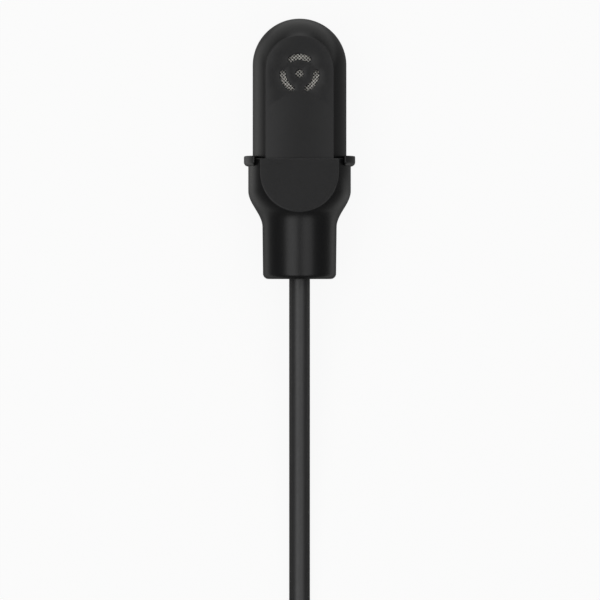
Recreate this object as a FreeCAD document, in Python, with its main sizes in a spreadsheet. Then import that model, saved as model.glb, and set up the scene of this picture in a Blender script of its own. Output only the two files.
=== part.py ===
import FreeCAD, Part
import math
import os
import Sketcher

# A miniature lavalier microphone lying on its back, in millimetres.
# The head points along +Y, its face looks up along +Z, and the cable leaves along -Y.
# The origin is on the surface it lies on, under the middle of the head and sleeve.

# Driving sizes

SIZES = {
    # head: a flat-faced capsule housing with a domed top
    "paddle_length": 10.5,
    "paddle_half_width": 3.6,
    "paddle_half_depth": 2.9,
    "side_inset": 1.0,
    "top_inset": 1.45,
    "face_chamfer": 0.07,
    "paddle_seat": 2.4,
    "front_wall": 0.4,
    "foot_wall": 0.5,
    "cavity_half_width": 2.65,
    "wire_notch_half_width": 1.0,
    "wire_notch_depth": 0.9,
    # sound slots
    "grille_from_top": 4.25,
    "slot_inner_radius": 1.08,
    "slot_outer_radius": 1.55,
    "slot_half_angle": 31.0,
    "centre_hole_radius": 0.31,
    # what lies behind the slots
    "mesh_radius": 2.2,
    "mesh_thickness": 0.12,
    "gasket_bore_radius": 1.75,
    "gasket_thickness": 0.15,
    "membrane_thickness": 0.05,
    # silicone boot round the capsule
    "boot_clearance": 0.04,
    "boot_lip": 0.3,
    "boot_mouth_radius": 1.7,
    "boot_notch_half_width": 0.95,
    # electret capsule
    "can_radius": 2.1,
    "can_height": 2.0,
    "can_wall": 0.12,
    "can_lip_radius": 1.75,
    "stack_clearance": 0.03,
    "sound_port_radius": 0.25,
    "diaphragm_ring_width": 0.35,
    "diaphragm_ring_height": 0.2,
    "diaphragm_thickness": 0.02,
    "spacer_height": 0.04,
    "backplate_radius": 1.65,
    "backplate_thickness": 0.3,
    "backplate_hole_radius": 0.2,
    "holder_ledge": 0.2,
    "contact_ring_wall": 0.15,
    "board_thickness": 0.32,
    "transistor_length": 1.0,
    "transistor_width": 0.8,
    "transistor_height": 0.45,
    "terminal_width": 0.6,
    "terminal_height": 0.2,
    "terminal_offset": 0.6,
    # sleeve: two ears at the mouth, U-shaped flats front and back, shoulders and round tail
    "sleeve_length": 9.5,
    "sleeve_half_width": 3.94,
    "sleeve_half_depth": 3.2,
    "ear_half_width": 4.275,
    "ear_inner_half": 3.42,
    "ear_height": 0.85,
    "ear_bevel": 0.3,
    "mouth_drop": 0.15,
    "flat_half_width": 3.03,
    "flat_straight": 1.31,
    "shoulder_start": 2.55,
    "shoulder_end": 5.49,
    "tail_radius": 2.85,
    "tail_bevel": 0.35,
    "socket_clearance": 0.03,
    "seal_thickness": 0.3,
    # cable entry
    "chamber_radius": 1.95,
    "bush_length": 3.2,
    "bush_radius": 1.5,
    "bush_flange": 0.5,
    "bush_recess": 0.1,
    "entry_clearance": 0.02,
    "ferrule_length": 1.8,
    "ferrule_radius": 1.1,
    "jacket_end": 0.4,
    "wire_radius": 0.2,
    "wire_spread": 0.35,
    "wire_reach": 1.3,
    "wire_entry": 1.2,
    "wire_straight": 0.5,
    # cable, hank and tie
    "cord_diameter": 1.6,
    "exit_run": 4.5,
    "descent": 15.2,
    "lead_turn": 12.3,
    "lead_swing": 6.9,
    "lead_aside": 0.7,
    "hank_start": 52.6,
    "hank_run": 32.0,
    "fold_inner_radius": 5.6,
    "loop_step": 2.2,
    "layer_step": 2.15,
    "waist_draw": 1.7,
    "tie_width": 5.0,
    "tie_thickness": 0.6,
    "tie_gap": 0.1,
    "tie_side_room": 0.4,
    "tie_corner_radius": 0.3,
    "run_bend_radius": 8.0,
    "return_aside": 0.5,
    "return_ahead": 4.0,
    "return_rise_in": 2.1,
    "return_rise_ahead": 8.0,
    "return_crest_in": 7.0,
    "return_crest_ahead": 8.3,
    "return_level": 3.8,
    # locking plug
    "plug_lead": 0.6,
    "boot_length": 8.4,
    "boot_tip_radius": 1.5,
    "boot_base_radius": 2.9,
    "boot_neck_radius": 2.4,
    "boot_flange_radius": 3.0,
    "boot_flange": 0.8,
    "shell_length": 12.0,
    "shell_radius": 4.25,
    "shell_wall": 0.8,
    "shell_back_wall": 1.3,
    "shell_edge": 0.8,
    "liner_wall": 0.25,
    "liner_length": 7.0,
    "turned_clearance": 0.03,
    "collar_gap": 0.1,
    "collar_length": 5.0,
    "collar_radius": 4.7,
    "grip_depth": 0.3,
    "collar_bore_clearance": 0.06,
    "nose_length": 2.5,
    "nose_radius": 3.0,
    "nose_recess_radius": 2.42,
    "boss_radius": 1.95,
    "boss_setback": 1.4,
    "clip_radius": 2.3,
    "clip_thickness": 0.4,
    "plug_radius": 1.75,
    "plug_length": 14.0,
    "plug_flange": 2.0,
    "tip_length": 3.4,
    "washer_length": 0.6,
    "insulator_radius": 1.1,
    "tip_rod_radius": 0.65,
    "lug_step": 1.2,
    "clamp_length": 2.5,
    "clamp_wall": 0.2,
    "clamp_arm_width": 1.4,
}

GRIP_COUNT = 12
BOOT_STEPS = 3
LEVELS = (0.0, 0.4, 0.72, 1.0)
FLAT_ANGLES = (0, 22.5, 45, 67.5, 90)
HALF_TURNS_PER_LAYER = 5
LAYERS = 4
CORD_SIDES = 6
HANK_SIDES = 4
WIRE_SIDES = 4

document = FreeCAD.newDocument("LavalierMicrophone")
sheet = document.addObject("Spreadsheet::Sheet", "Size")
for row, (alias, amount) in enumerate(SIZES.items(), start=1):
    sheet.set(f"A{row}", alias.replace("_", " "))
    sheet.set(f"B{row}", str(amount))
    sheet.setAlias(f"B{row}", alias)
document.recompute()

finished = []


def number(expression):
    """The present value of an expression written in the sheet's names."""
    return float(sheet.evalExpression(expression))


# Places along the microphone, in the sheet's names

AXIS_Z = "Size.sleeve_half_depth"
TOP_Y = "((Size.paddle_length + Size.sleeve_length) / 2)"
TAIL_Y = "(-(Size.paddle_length + Size.sleeve_length) / 2)"
MOUTH_Y = "((Size.sleeve_length - Size.paddle_length) / 2)"
FOOT_Y = f"({MOUTH_Y} - Size.paddle_seat)"
CAPSULE_Y = f"({TOP_Y} - Size.grille_from_top)"
SEAL_Y = f"({FOOT_Y} - Size.seal_thickness)"
BUSH_Y = f"({TAIL_Y} + Size.bush_length)"
FERRULE_Y = f"({BUSH_Y} + Size.bush_flange)"
JACKET_Y = f"({FERRULE_Y} + Size.ferrule_length + Size.jacket_end)"

# Heights through the capsule, from the face down

FACE_Z = f"({AXIS_Z} + Size.paddle_half_depth)"
CEILING_Z = f"({FACE_Z} - Size.front_wall)"
MESH_Z = f"({CEILING_Z} - Size.mesh_thickness)"
GASKET_Z = f"({MESH_Z} - Size.gasket_thickness)"
MEMBRANE_Z = f"({GASKET_Z} - Size.membrane_thickness)"
CAN_FRONT_Z = f"({MEMBRANE_Z} - Size.boot_lip)"
CAN_BACK_Z = f"({CAN_FRONT_Z} - Size.can_height)"
FLOOR_Z = f"({AXIS_Z} - Size.paddle_half_depth + Size.front_wall)"
RING_Z = f"({CAN_FRONT_Z} - Size.can_wall - Size.diaphragm_ring_height)"
FILM_Z = f"({RING_Z} - Size.diaphragm_thickness)"
SPACER_Z = f"({FILM_Z} - Size.spacer_height)"
PLATE_Z = f"({SPACER_Z} - Size.backplate_thickness)"
BOARD_BACK_Z = f"({CAN_BACK_Z} + Size.can_wall)"
BOARD_Z = f"({BOARD_BACK_Z} + Size.board_thickness)"
STACK_RADIUS = "(Size.can_radius - Size.can_wall - Size.stack_clearance)"
BOOT_RADIUS = "(Size.cavity_half_width - Size.boot_clearance)"

# Places along the plug, counted from the end where the cable goes in

SHELL_T = "Size.boot_length"
SHELL_IN_T = f"({SHELL_T} + Size.shell_back_wall)"
FRONT_T = f"({SHELL_T} + Size.shell_length)"
FLANGE_T = f"({FRONT_T} - Size.plug_flange)"
TIP_LUG_T = f"({FLANGE_T} - 2 * Size.lug_step)"
CLAMP_T = f"({SHELL_IN_T} + Size.boot_flange + Size.turned_clearance)"
CORD_END_T = f"({CLAMP_T} + Size.clamp_length + Size.jacket_end)"
COLLAR_T = f"({FRONT_T} + Size.collar_gap)"
GRIP_END_T = f"({COLLAR_T} + Size.collar_length)"
NOSE_T = f"({GRIP_END_T} + Size.nose_length)"
BOSS_T = f"({NOSE_T} - Size.boss_setback)"
CLIP_END_T = f"({BOSS_T} + Size.clip_thickness)"
TIP_T = f"({NOSE_T} + Size.plug_length)"
TIP_HEAD_T = f"({TIP_T} - Size.tip_length)"
SLEEVE_END_T = f"({TIP_HEAD_T} - Size.washer_length)"
CORD_R = "(Size.cord_diameter / 2)"
ENTRY_R = f"({CORD_R} + Size.entry_clearance)"
SHELL_BORE_R = "(Size.shell_radius - Size.shell_wall)"
FLANGE_R = f"({SHELL_BORE_R} - Size.turned_clearance)"

# Heights of the hank and of the plug that lies on it

TIE_INSIDE = f"(2 * Size.tie_gap + {LAYERS - 1} * Size.layer_step + Size.cord_diameter)"
TIE_TOP_Z = f"(2 * Size.tie_thickness + {TIE_INSIDE})"
PLUG_Z = f"({TIE_TOP_Z} + Size.shell_radius)"
PLUG_Y = "(Size.plug_lead - Size.hank_start)"
FOLD_OUTER_R = f"(Size.fold_inner_radius + {HALF_TURNS_PER_LAYER - 1} * Size.loop_step / 2)"

# Frames that pieces are placed in: where their origin is, and how their Z axis lies

UPRIGHT = FreeCAD.Rotation()
TOWARD_TAIL = FreeCAD.Rotation(FreeCAD.Vector(1, 0, 0), 90)
MIC_FRAME = (("0", "0", AXIS_Z), UPRIGHT)
CAPSULE_FRAME = (("0", CAPSULE_Y, "0"), UPRIGHT)
TAIL_FRAME = (("0", TAIL_Y, AXIS_Z), TOWARD_TAIL)
PLUG_FRAME = (("0", PLUG_Y, PLUG_Z), TOWARD_TAIL)


def put(thing, frame):
    """Place an object in one of the frames, tied to the sheet."""
    base, rotation = frame
    thing.Placement = FreeCAD.Placement(FreeCAD.Vector(), rotation)
    for axis, expression in zip("xyz", base):
        thing.setExpression(f"Placement.Base.{axis}", expression)


def finish(thing, label, tip=None):
    """Give a piece its name and add it to the pieces that are written out."""
    thing.Label = label
    if tip is not None:
        thing.Tip = tip
    finished.append(thing)
    return thing


# Sketching

def plane_of(body, role):
    return next(item for item in body.Origin.OriginFeatures if item.Role == role)


def sketch_on(body, role, name, offset=None):
    """A sketch on an origin plane of a body, moved by up to three expressions."""
    sketch = body.newObject("Sketcher::SketchObject", name)
    sketch.AttachmentSupport = [(plane_of(body, role), "")]
    sketch.MapMode = "FlatFace"
    for axis, expression in (offset or {}).items():
        sketch.setExpression(f"AttachmentOffset.Base.{axis}", expression)
    document.recompute()
    return sketch


def bind(sketch, kind, *where, size):
    """Add a dimension to a sketch and tie it to an expression."""
    index = sketch.addConstraint(Sketcher.Constraint(kind, *where, number(size)))
    sketch.setExpression(f"Constraints[{index}]", size)


def pin_point(sketch, edge, end, across, along):
    """Hold an end of an edge at a place in the sketch, or on an axis where the place is 0."""
    if across == "0":
        sketch.addConstraint(Sketcher.Constraint("PointOnObject", edge, end, -2))
    else:
        bind(sketch, "DistanceX", -1, 1, edge, end, size=across)
    if along == "0":
        sketch.addConstraint(Sketcher.Constraint("PointOnObject", edge, end, -1))
    else:
        bind(sketch, "DistanceY", -1, 1, edge, end, size=along)


def outline(sketch, corners):
    """A closed outline of straight edges whose corners are pairs of expressions."""
    points = [FreeCAD.Vector(number(across), number(along), 0) for across, along in corners]
    edges = [
        sketch.addGeometry(Part.LineSegment(start, points[(index + 1) % len(points)]))
        for index, start in enumerate(points)
    ]
    for index, edge in enumerate(edges):
        following = edges[(index + 1) % len(edges)]
        sketch.addConstraint(Sketcher.Constraint("Coincident", edge, 2, following, 1))
    for edge, (across, along) in zip(edges, corners):
        pin_point(sketch, edge, 1, across, along)


def tombstone(sketch, half_width, top, bottom):
    """A closed outline with straight sides and a half-round top, open to any size."""
    half, high, low = number(half_width), number(top), number(bottom)
    spring = high - half
    foot = sketch.addGeometry(
        Part.LineSegment(FreeCAD.Vector(-half, low, 0), FreeCAD.Vector(half, low, 0))
    )
    right = sketch.addGeometry(
        Part.LineSegment(FreeCAD.Vector(half, low, 0), FreeCAD.Vector(half, spring, 0))
    )
    circle = Part.Circle(FreeCAD.Vector(0, spring, 0), FreeCAD.Vector(0, 0, 1), half)
    dome = sketch.addGeometry(Part.ArcOfCircle(circle, 0, math.pi))
    left = sketch.addGeometry(
        Part.LineSegment(FreeCAD.Vector(-half, spring, 0), FreeCAD.Vector(-half, low, 0))
    )
    sketch.addConstraint(Sketcher.Constraint("Coincident", foot, 2, right, 1))
    sketch.addConstraint(Sketcher.Constraint("Coincident", left, 2, foot, 1))
    sketch.addConstraint(Sketcher.Constraint("Tangent", right, 2, dome, 1))
    sketch.addConstraint(Sketcher.Constraint("Tangent", dome, 2, left, 1))
    sketch.addConstraint(Sketcher.Constraint("Horizontal", foot))
    sketch.addConstraint(Sketcher.Constraint("Vertical", right))
    sketch.addConstraint(Sketcher.Constraint("Vertical", left))
    sketch.addConstraint(Sketcher.Constraint("PointOnObject", dome, 3, -2))
    bind(sketch, "Radius", dome, size=half_width)
    bind(sketch, "DistanceY", -1, 1, dome, 3, size=f"({top} - {half_width})")
    bind(sketch, "DistanceY", -1, 1, foot, 1, size=bottom)


def circle_in(sketch, across, along, radius):
    """A full circle placed and sized by expressions."""
    centre = FreeCAD.Vector(number(across), number(along), 0)
    ring = sketch.addGeometry(Part.Circle(centre, FreeCAD.Vector(0, 0, 1), number(radius)))
    pin_point(sketch, ring, 3, across, along)
    bind(sketch, "Radius", ring, size=radius)


# Features

def new_body(name, frame):
    body = document.addObject("PartDesign::Body", name)
    put(body, frame)
    return body


def pocket(body, sketch, name, depth, reverse=False):
    """A pocket of a given depth, that has to remove material."""
    before = body.Shape.Volume
    cut = body.newObject("PartDesign::Pocket", name)
    cut.Profile = sketch
    cut.Reversed = reverse
    cut.Type = "Length"
    cut.setExpression("Length", depth)
    document.recompute()
    if not body.Shape.Volume < before - 1e-6:
        raise RuntimeError(f"{body.Name}: {name} removed nothing")
    return cut


def repeat_round(body, feature, axis, count, name):
    """Repeat a feature evenly round an axis, and check that the copies count."""
    before = body.Shape.Volume
    pattern = body.newObject("PartDesign::PolarPattern", name)
    pattern.Originals = [feature]
    pattern.Axis = axis
    pattern.Angle = 360
    pattern.Occurrences = count
    body.Tip = pattern
    document.recompute()
    if abs(body.Shape.Volume - before) < 1e-6:
        raise RuntimeError(f"{body.Name}: {name} changed nothing")
    return pattern


def turned(label, frame, corners):
    """A turned piece: a closed profile of radius and height, spun round the frame's Z axis."""
    body = new_body(label, frame)
    sketch = sketch_on(body, "XZ_Plane", f"{label}_profile")
    outline(sketch, corners)
    spin = body.newObject("PartDesign::Revolution", f"{label}_turn")
    spin.Profile = sketch
    spin.ReferenceAxis = (sketch, ["V_Axis"])
    spin.Angle = 360
    document.recompute()
    return finish(body, label)


def ring(label, frame, inner, outer, low, high):
    """A plain ring or, with an inner radius of 0, a disc."""
    return turned(label, frame, [(inner, low), (outer, low), (outer, high), (inner, high)])


def block(name, length, width, height, corner):
    """A plain block from one corner, upright."""
    box = document.addObject("Part::Box", name)
    for side, size in (("Length", length), ("Width", width), ("Height", height)):
        box.setExpression(side, size)
    put(box, (corner, UPRIGHT))
    return box


# Head housings

SIDE_R = "((Size.paddle_half_depth^2 + Size.side_inset^2) / (2 * Size.side_inset))"
CROWN_R = "((Size.paddle_half_depth^2 + Size.top_inset^2) / (2 * Size.top_inset))"


def fallen(radius, height):
    """How far a round of this radius has drawn in at a height above its widest line."""
    return f"({radius} - sqrt({radius}^2 - {height}^2))"


def additive_loft(body, name, sections):
    """Solid form through a row of outlines."""
    form = body.newObject("PartDesign::AdditiveLoft", name)
    form.Profile = sections[0]
    form.Sections = sections[1:]
    form.Ruled = True
    document.recompute()
    return form


def head_half(label, side):
    """Half of the head: a loft through its outlines, from the parting plane to the flat."""
    body = new_body(label, MIC_FRAME)
    shoulder = "(Size.paddle_half_depth - Size.face_chamfer)"
    sections = []
    for index, level in enumerate(LEVELS):
        height = f"({shoulder} * {level})"
        half_width = f"(Size.paddle_half_width - {fallen(SIDE_R, height)})"
        top = f"({TOP_Y} - {fallen(CROWN_R, height)})"
        sketch = sketch_on(body, "XY_Plane", f"{label}_level_{index}", {"z": f"({side} * {height})"})
        tombstone(sketch, half_width, top, FOOT_Y)
        sections.append(sketch)
    additive_loft(body, f"{label}_form", sections)
    flat = sketch_on(body, "XY_Plane", f"{label}_flat", {"z": f"({side} * Size.paddle_half_depth)"})
    tombstone(flat, f"({half_width} - Size.face_chamfer)", f"({top} - Size.face_chamfer)", FOOT_Y)
    additive_loft(body, f"{label}_face_edge", [sections[-1], flat])

    hollow = sketch_on(body, "XY_Plane", f"{label}_cavity_outline")
    cavity_top = f"({CAPSULE_Y} + Size.cavity_half_width)"
    tombstone(hollow, "Size.cavity_half_width", cavity_top, f"({FOOT_Y} + Size.foot_wall)")
    pocket(body, hollow, f"{label}_cavity", "Size.paddle_half_depth - Size.front_wall", side > 0)

    notch = sketch_on(body, "XY_Plane", f"{label}_notch_outline")
    outline(notch, [
        ("(-Size.wire_notch_half_width)", f"({FOOT_Y} - Size.foot_wall)"),
        ("Size.wire_notch_half_width", f"({FOOT_Y} - Size.foot_wall)"),
        ("Size.wire_notch_half_width", f"({FOOT_Y} + 2 * Size.foot_wall)"),
        ("(-Size.wire_notch_half_width)", f"({FOOT_Y} + 2 * Size.foot_wall)"),
    ])
    pocket(body, notch, f"{label}_notch", "Size.wire_notch_depth", side > 0)
    return body


def arc_slot(sketch, inner, outer, half_angle):
    """A slot bent round the sketch's origin, with round ends, centred on its upper axis."""
    r_in, r_out, half = number(inner), number(outer), math.radians(number(half_angle))
    r_mid, r_end = (r_in + r_out) / 2, (r_out - r_in) / 2
    up = math.pi / 2
    out_axis = FreeCAD.Vector(0, 0, 1)

    def arc(centre, radius, start, stop):
        return sketch.addGeometry(Part.ArcOfCircle(Part.Circle(centre, out_axis, radius), start, stop))

    def at(angle):
        return FreeCAD.Vector(r_mid * math.cos(angle), r_mid * math.sin(angle), 0)

    far = arc(FreeCAD.Vector(), r_out, up - half, up + half)
    near = arc(FreeCAD.Vector(), r_in, up - half, up + half)
    right = arc(at(up - half), r_end, up - half - math.pi, up - half)
    left = arc(at(up + half), r_end, up + half, up + half + math.pi)
    for bow in (far, near):
        sketch.addConstraint(Sketcher.Constraint("Coincident", bow, 3, -1, 1))
    sketch.addConstraint(Sketcher.Constraint("Tangent", right, 2, far, 1))
    sketch.addConstraint(Sketcher.Constraint("Tangent", right, 1, near, 1))
    sketch.addConstraint(Sketcher.Constraint("Tangent", left, 1, far, 2))
    sketch.addConstraint(Sketcher.Constraint("Tangent", left, 2, near, 2))
    bind(sketch, "Radius", far, size=outer)
    bind(sketch, "Radius", near, size=inner)
    middle = f"(({inner} + {outer}) / 2)"
    for end, sign in ((right, ""), (left, "-")):
        bind(sketch, "DistanceX", -1, 1, end, 3, size=f"({sign}{middle} * sin({half_angle} * 1 deg))")


def front_housing():
    body = head_half("front_housing", 1)
    face = {"y": CAPSULE_Y, "z": "Size.paddle_half_depth"}
    bow = sketch_on(body, "XY_Plane", "sound_slot_outline", face)
    arc_slot(bow, "Size.slot_inner_radius", "Size.slot_outer_radius", "Size.slot_half_angle")
    slot = pocket(body, bow, "sound_slot", "Size.front_wall * 1.5")
    repeat_round(body, slot, (bow, ["N_Axis"]), 3, "sound_slots")
    middle = sketch_on(body, "XY_Plane", "centre_hole_outline", face)
    circle_in(middle, "0", "0", "Size.centre_hole_radius")
    hole = pocket(body, middle, "centre_hole", "Size.front_wall * 1.5")
    finish(body, "front_housing", hole)


def rear_housing():
    body = head_half("rear_housing", -1)
    finish(body, "rear_housing")


# Capsule and what holds it

def capsule_boot():
    body = turned("capsule_boot", CAPSULE_FRAME, [
        ("Size.boot_mouth_radius", MEMBRANE_Z),
        (BOOT_RADIUS, MEMBRANE_Z),
        (BOOT_RADIUS, FLOOR_Z),
        ("Size.can_radius", FLOOR_Z),
        ("Size.can_radius", CAN_FRONT_Z),
        ("Size.boot_mouth_radius", CAN_FRONT_Z),
    ])
    doorway = sketch_on(body, "XY_Plane", "wire_doorway_outline", {"z": FLOOR_Z})
    outline(doorway, [
        ("(-Size.boot_notch_half_width)", "(-Size.can_radius * 1.5)"),
        ("Size.boot_notch_half_width", "(-Size.can_radius * 1.5)"),
        ("Size.boot_notch_half_width", "0"),
        ("(-Size.boot_notch_half_width)", "0"),
    ])
    depth = f"({CAN_BACK_Z} - {FLOOR_Z} - Size.can_wall)"
    body.Tip = pocket(body, doorway, "wire_doorway", depth, True)


def capsule_can():
    inside = "(Size.can_radius - Size.can_wall)"
    body = turned("capsule_can", CAPSULE_FRAME, [
        ("0", CAN_FRONT_Z),
        ("Size.can_radius", CAN_FRONT_Z),
        ("Size.can_radius", CAN_BACK_Z),
        ("Size.can_lip_radius", CAN_BACK_Z),
        ("Size.can_lip_radius", BOARD_BACK_Z),
        (inside, BOARD_BACK_Z),
        (inside, f"({CAN_FRONT_Z} - Size.can_wall)"),
        ("0", f"({CAN_FRONT_Z} - Size.can_wall)"),
    ])
    port = sketch_on(body, "XY_Plane", "sound_port_outline", {"z": CAN_FRONT_Z})
    circle_in(port, "0", "0", "Size.sound_port_radius")
    body.Tip = pocket(body, port, "sound_port", "Size.can_wall * 2")


def backplate_holder():
    ledge = "(Size.backplate_radius - Size.holder_ledge)"
    bore = "(Size.backplate_radius + Size.stack_clearance)"
    turned("backplate_holder", CAPSULE_FRAME, [
        (ledge, BOARD_Z),
        (STACK_RADIUS, BOARD_Z),
        (STACK_RADIUS, SPACER_Z),
        (bore, SPACER_Z),
        (bore, PLATE_Z),
        (ledge, PLATE_Z),
    ])


def capsule():
    capsule_can()
    ring_bore = f"({STACK_RADIUS} - Size.diaphragm_ring_width)"
    ring_top = f"({RING_Z} + Size.diaphragm_ring_height)"
    turned("diaphragm", CAPSULE_FRAME, [
        ("0", FILM_Z), (STACK_RADIUS, FILM_Z), (STACK_RADIUS, ring_top),
        (ring_bore, ring_top), (ring_bore, RING_Z), ("0", RING_Z),
    ])
    ring("spacer_ring", CAPSULE_FRAME, ring_bore, STACK_RADIUS, SPACER_Z, FILM_Z)
    ring("backplate", CAPSULE_FRAME, "Size.backplate_hole_radius", "Size.backplate_radius",
         PLATE_Z, SPACER_Z)
    backplate_holder()
    contact_r = "(Size.backplate_radius - Size.holder_ledge - Size.stack_clearance)"
    ring("contact_ring", CAPSULE_FRAME, f"({contact_r} - Size.contact_ring_wall)", contact_r,
         BOARD_Z, PLATE_Z)
    ring("capsule_board", CAPSULE_FRAME, "0", STACK_RADIUS, BOARD_BACK_Z, BOARD_Z)

    corner = ("(-Size.transistor_length / 2)", f"({CAPSULE_Y} - Size.transistor_width / 2)", BOARD_Z)
    chip = block("transistor", "Size.transistor_length", "Size.transistor_width",
                 "Size.transistor_height", corner)
    finish(chip, "transistor")

    pads = []
    for name, sign in (("signal_pad", "-"), ("ground_pad", "")):
        corner = (
            f"({sign}Size.terminal_offset - Size.terminal_width / 2)",
            f"({CAPSULE_Y} - Size.terminal_width / 2)",
            f"({BOARD_BACK_Z} - Size.terminal_height)",
        )
        pads.append(block(name, "Size.terminal_width", "Size.terminal_width",
                          "Size.terminal_height", corner))
    both = document.addObject("Part::Compound", "solder_terminals")
    both.Links = pads
    finish(both, "solder_terminals")


def behind_the_slots():
    ring("grille_mesh", CAPSULE_FRAME, "0", "Size.mesh_radius", MESH_Z, CEILING_Z)
    ring("mesh_gasket", CAPSULE_FRAME, "Size.gasket_bore_radius", "Size.mesh_radius", GASKET_Z, MESH_Z)
    ring("membrane", CAPSULE_FRAME, "0", "Size.mesh_radius", MEMBRANE_Z, GASKET_Z)


# Sleeve

ACROSS_BODY = FreeCAD.Rotation(FreeCAD.Vector(1, 1, 1), 240)


def oval(name, half_width, half_depth, y):
    """An ellipse square to the microphone's length, deeper than it is wide."""
    curve = document.addObject("Part::Ellipse", name)
    curve.setExpression("MajorRadius", half_depth)
    curve.setExpression("MinorRadius", half_width)
    put(curve, (("0", y, AXIS_Z), ACROSS_BODY))
    return curve


def circle(name, radius, y):
    """A circle square to the microphone's length."""
    curve = document.addObject("Part::Circle", name)
    curve.setExpression("Radius", radius)
    put(curve, (("0", y, AXIS_Z), ACROSS_BODY))
    return curve


def eased(start_size, end_size, start, end, place):
    """A size that swings from one value to another along a cosine between two places."""
    share = f"min(1; max(0; ({place} - {start}) / ({end} - {start})))"
    return f"({end_size} + ({start_size} - {end_size}) * (1 + cos(180 deg * {share})) / 2)"


def cylinder(name, radius, length, y_high):
    """A round bar along the microphone, from a place toward the tail."""
    bar = document.addObject("Part::Cylinder", name)
    bar.setExpression("Radius", radius)
    bar.setExpression("Height", length)
    put(bar, (("0", y_high, AXIS_Z), TOWARD_TAIL))
    return bar


def softened(kind, base, name, radius, wanted):
    """Fillet or chamfer the edges of a shape that pass a test."""
    document.recompute()
    piece = document.addObject(f"Part::{kind}", name)
    piece.Base = base
    size = number(radius)
    piece.Edges = [
        (index, size, size)
        for index, edge in enumerate(base.Shape.Edges, start=1)
        if wanted(edge)
    ]
    document.recompute()
    return piece


def head_section(name, clearance, y_high, length):
    """A bar with the cross-section of the head's foot, wider all round by a clearance."""
    section = document.addObject("Sketcher::SketchObject", f"{name}_section")
    turned_over = FreeCAD.Rotation(FreeCAD.Vector(1, 0, 0), 90)
    put(section, (("0", y_high, AXIS_Z), turned_over))
    half_width = f"(Size.paddle_half_width + {clearance})"
    depth = f"(Size.paddle_half_depth + {clearance})"
    flat = f"(Size.paddle_half_width - Size.side_inset + {clearance})"
    wide, deep, level = number(half_width), number(depth), number(flat)
    sides = []
    for sign in (1, -1):
        bow = Part.Arc(
            FreeCAD.Vector(sign * level, -sign * deep, 0),
            FreeCAD.Vector(sign * wide, 0, 0),
            FreeCAD.Vector(sign * level, sign * deep, 0),
        )
        flat_line = Part.LineSegment(
            FreeCAD.Vector(sign * level, sign * deep, 0),
            FreeCAD.Vector(-sign * level, sign * deep, 0),
        )
        sides.append((section.addGeometry(bow), section.addGeometry(flat_line)))
    (right, top), (left, bottom) = sides
    section.addConstraint(Sketcher.Constraint("Coincident", right, 2, top, 1))
    section.addConstraint(Sketcher.Constraint("Coincident", top, 2, left, 1))
    section.addConstraint(Sketcher.Constraint("Coincident", left, 2, bottom, 1))
    section.addConstraint(Sketcher.Constraint("Coincident", bottom, 2, right, 1))
    for edge, sign in ((top, 1), (bottom, -1)):
        section.addConstraint(Sketcher.Constraint("Horizontal", edge))
        bind(section, "DistanceY", -1, 1, edge, 1, size=f"({sign} * {depth})")
        bind(section, "DistanceX", -1, 1, edge, 1, size=f"({sign} * {flat})")
        bind(section, "DistanceX", -1, 1, edge, 2, size=f"(-{sign} * {flat})")
    inset = f"({half_width} - {flat})"
    for edge in (right, left):
        bind(section, "Radius", edge, size=f"(({depth}^2 + {inset}^2) / (2 * {inset}))")
    bar = document.addObject("Part::Extrusion", name)
    bar.Base = section
    bar.DirMode = "Normal"
    bar.Solid = True
    bar.setExpression("LengthFwd", length)
    return bar


def fuse(name, pieces):
    joined = document.addObject("Part::MultiFuse", name)
    joined.Shapes = pieces
    joined.Refine = True
    return joined


def drawn_out(name, oval_name, half_width, half_depth, y, length):
    """An oval bar from a place toward the tail."""
    bar = document.addObject("Part::Extrusion", name)
    bar.Base = oval(oval_name, half_width, half_depth, y)
    bar.Dir = FreeCAD.Vector(0, -1, 0)
    bar.DirMode = "Custom"
    bar.Solid = True
    bar.setExpression("LengthFwd", length)
    return bar


def deep_enough(half_width, flat_half):
    """Half the depth of an oval that the flats cut to a given width."""
    return f"(Size.sleeve_half_depth / sqrt(1 - ({flat_half} / {half_width})^2))"


CROWN_HALF = deep_enough("Size.sleeve_half_width", "Size.flat_half_width")


def ears():
    """The two ears that stand out at the sides of the mouth."""
    half_depth = f"({CROWN_HALF} + Size.ear_half_width - Size.sleeve_half_width)"
    rim = drawn_out("rim", "rim_oval", "Size.ear_half_width", half_depth, MOUTH_Y, "Size.ear_height")
    under = number(f"{MOUTH_Y} - Size.ear_height")
    soft_rim = softened("Chamfer", rim, "soft_rim", "Size.ear_bevel",
                        lambda edge: abs(edge.CenterOfMass.y - under) < 0.01)
    low_y, low_z = f"({MOUTH_Y} - 2 * Size.ear_height)", f"({AXIS_Z} - 2 * Size.sleeve_half_depth)"
    between = block("between_ears", "2 * Size.ear_inner_half", "3 * Size.ear_height",
                    "4 * Size.sleeve_half_depth", ("(-Size.ear_inner_half)", low_y, low_z))
    pair = document.addObject("Part::Cut", "ears")
    pair.Base = soft_rim
    pair.Tool = between
    return pair


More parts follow.
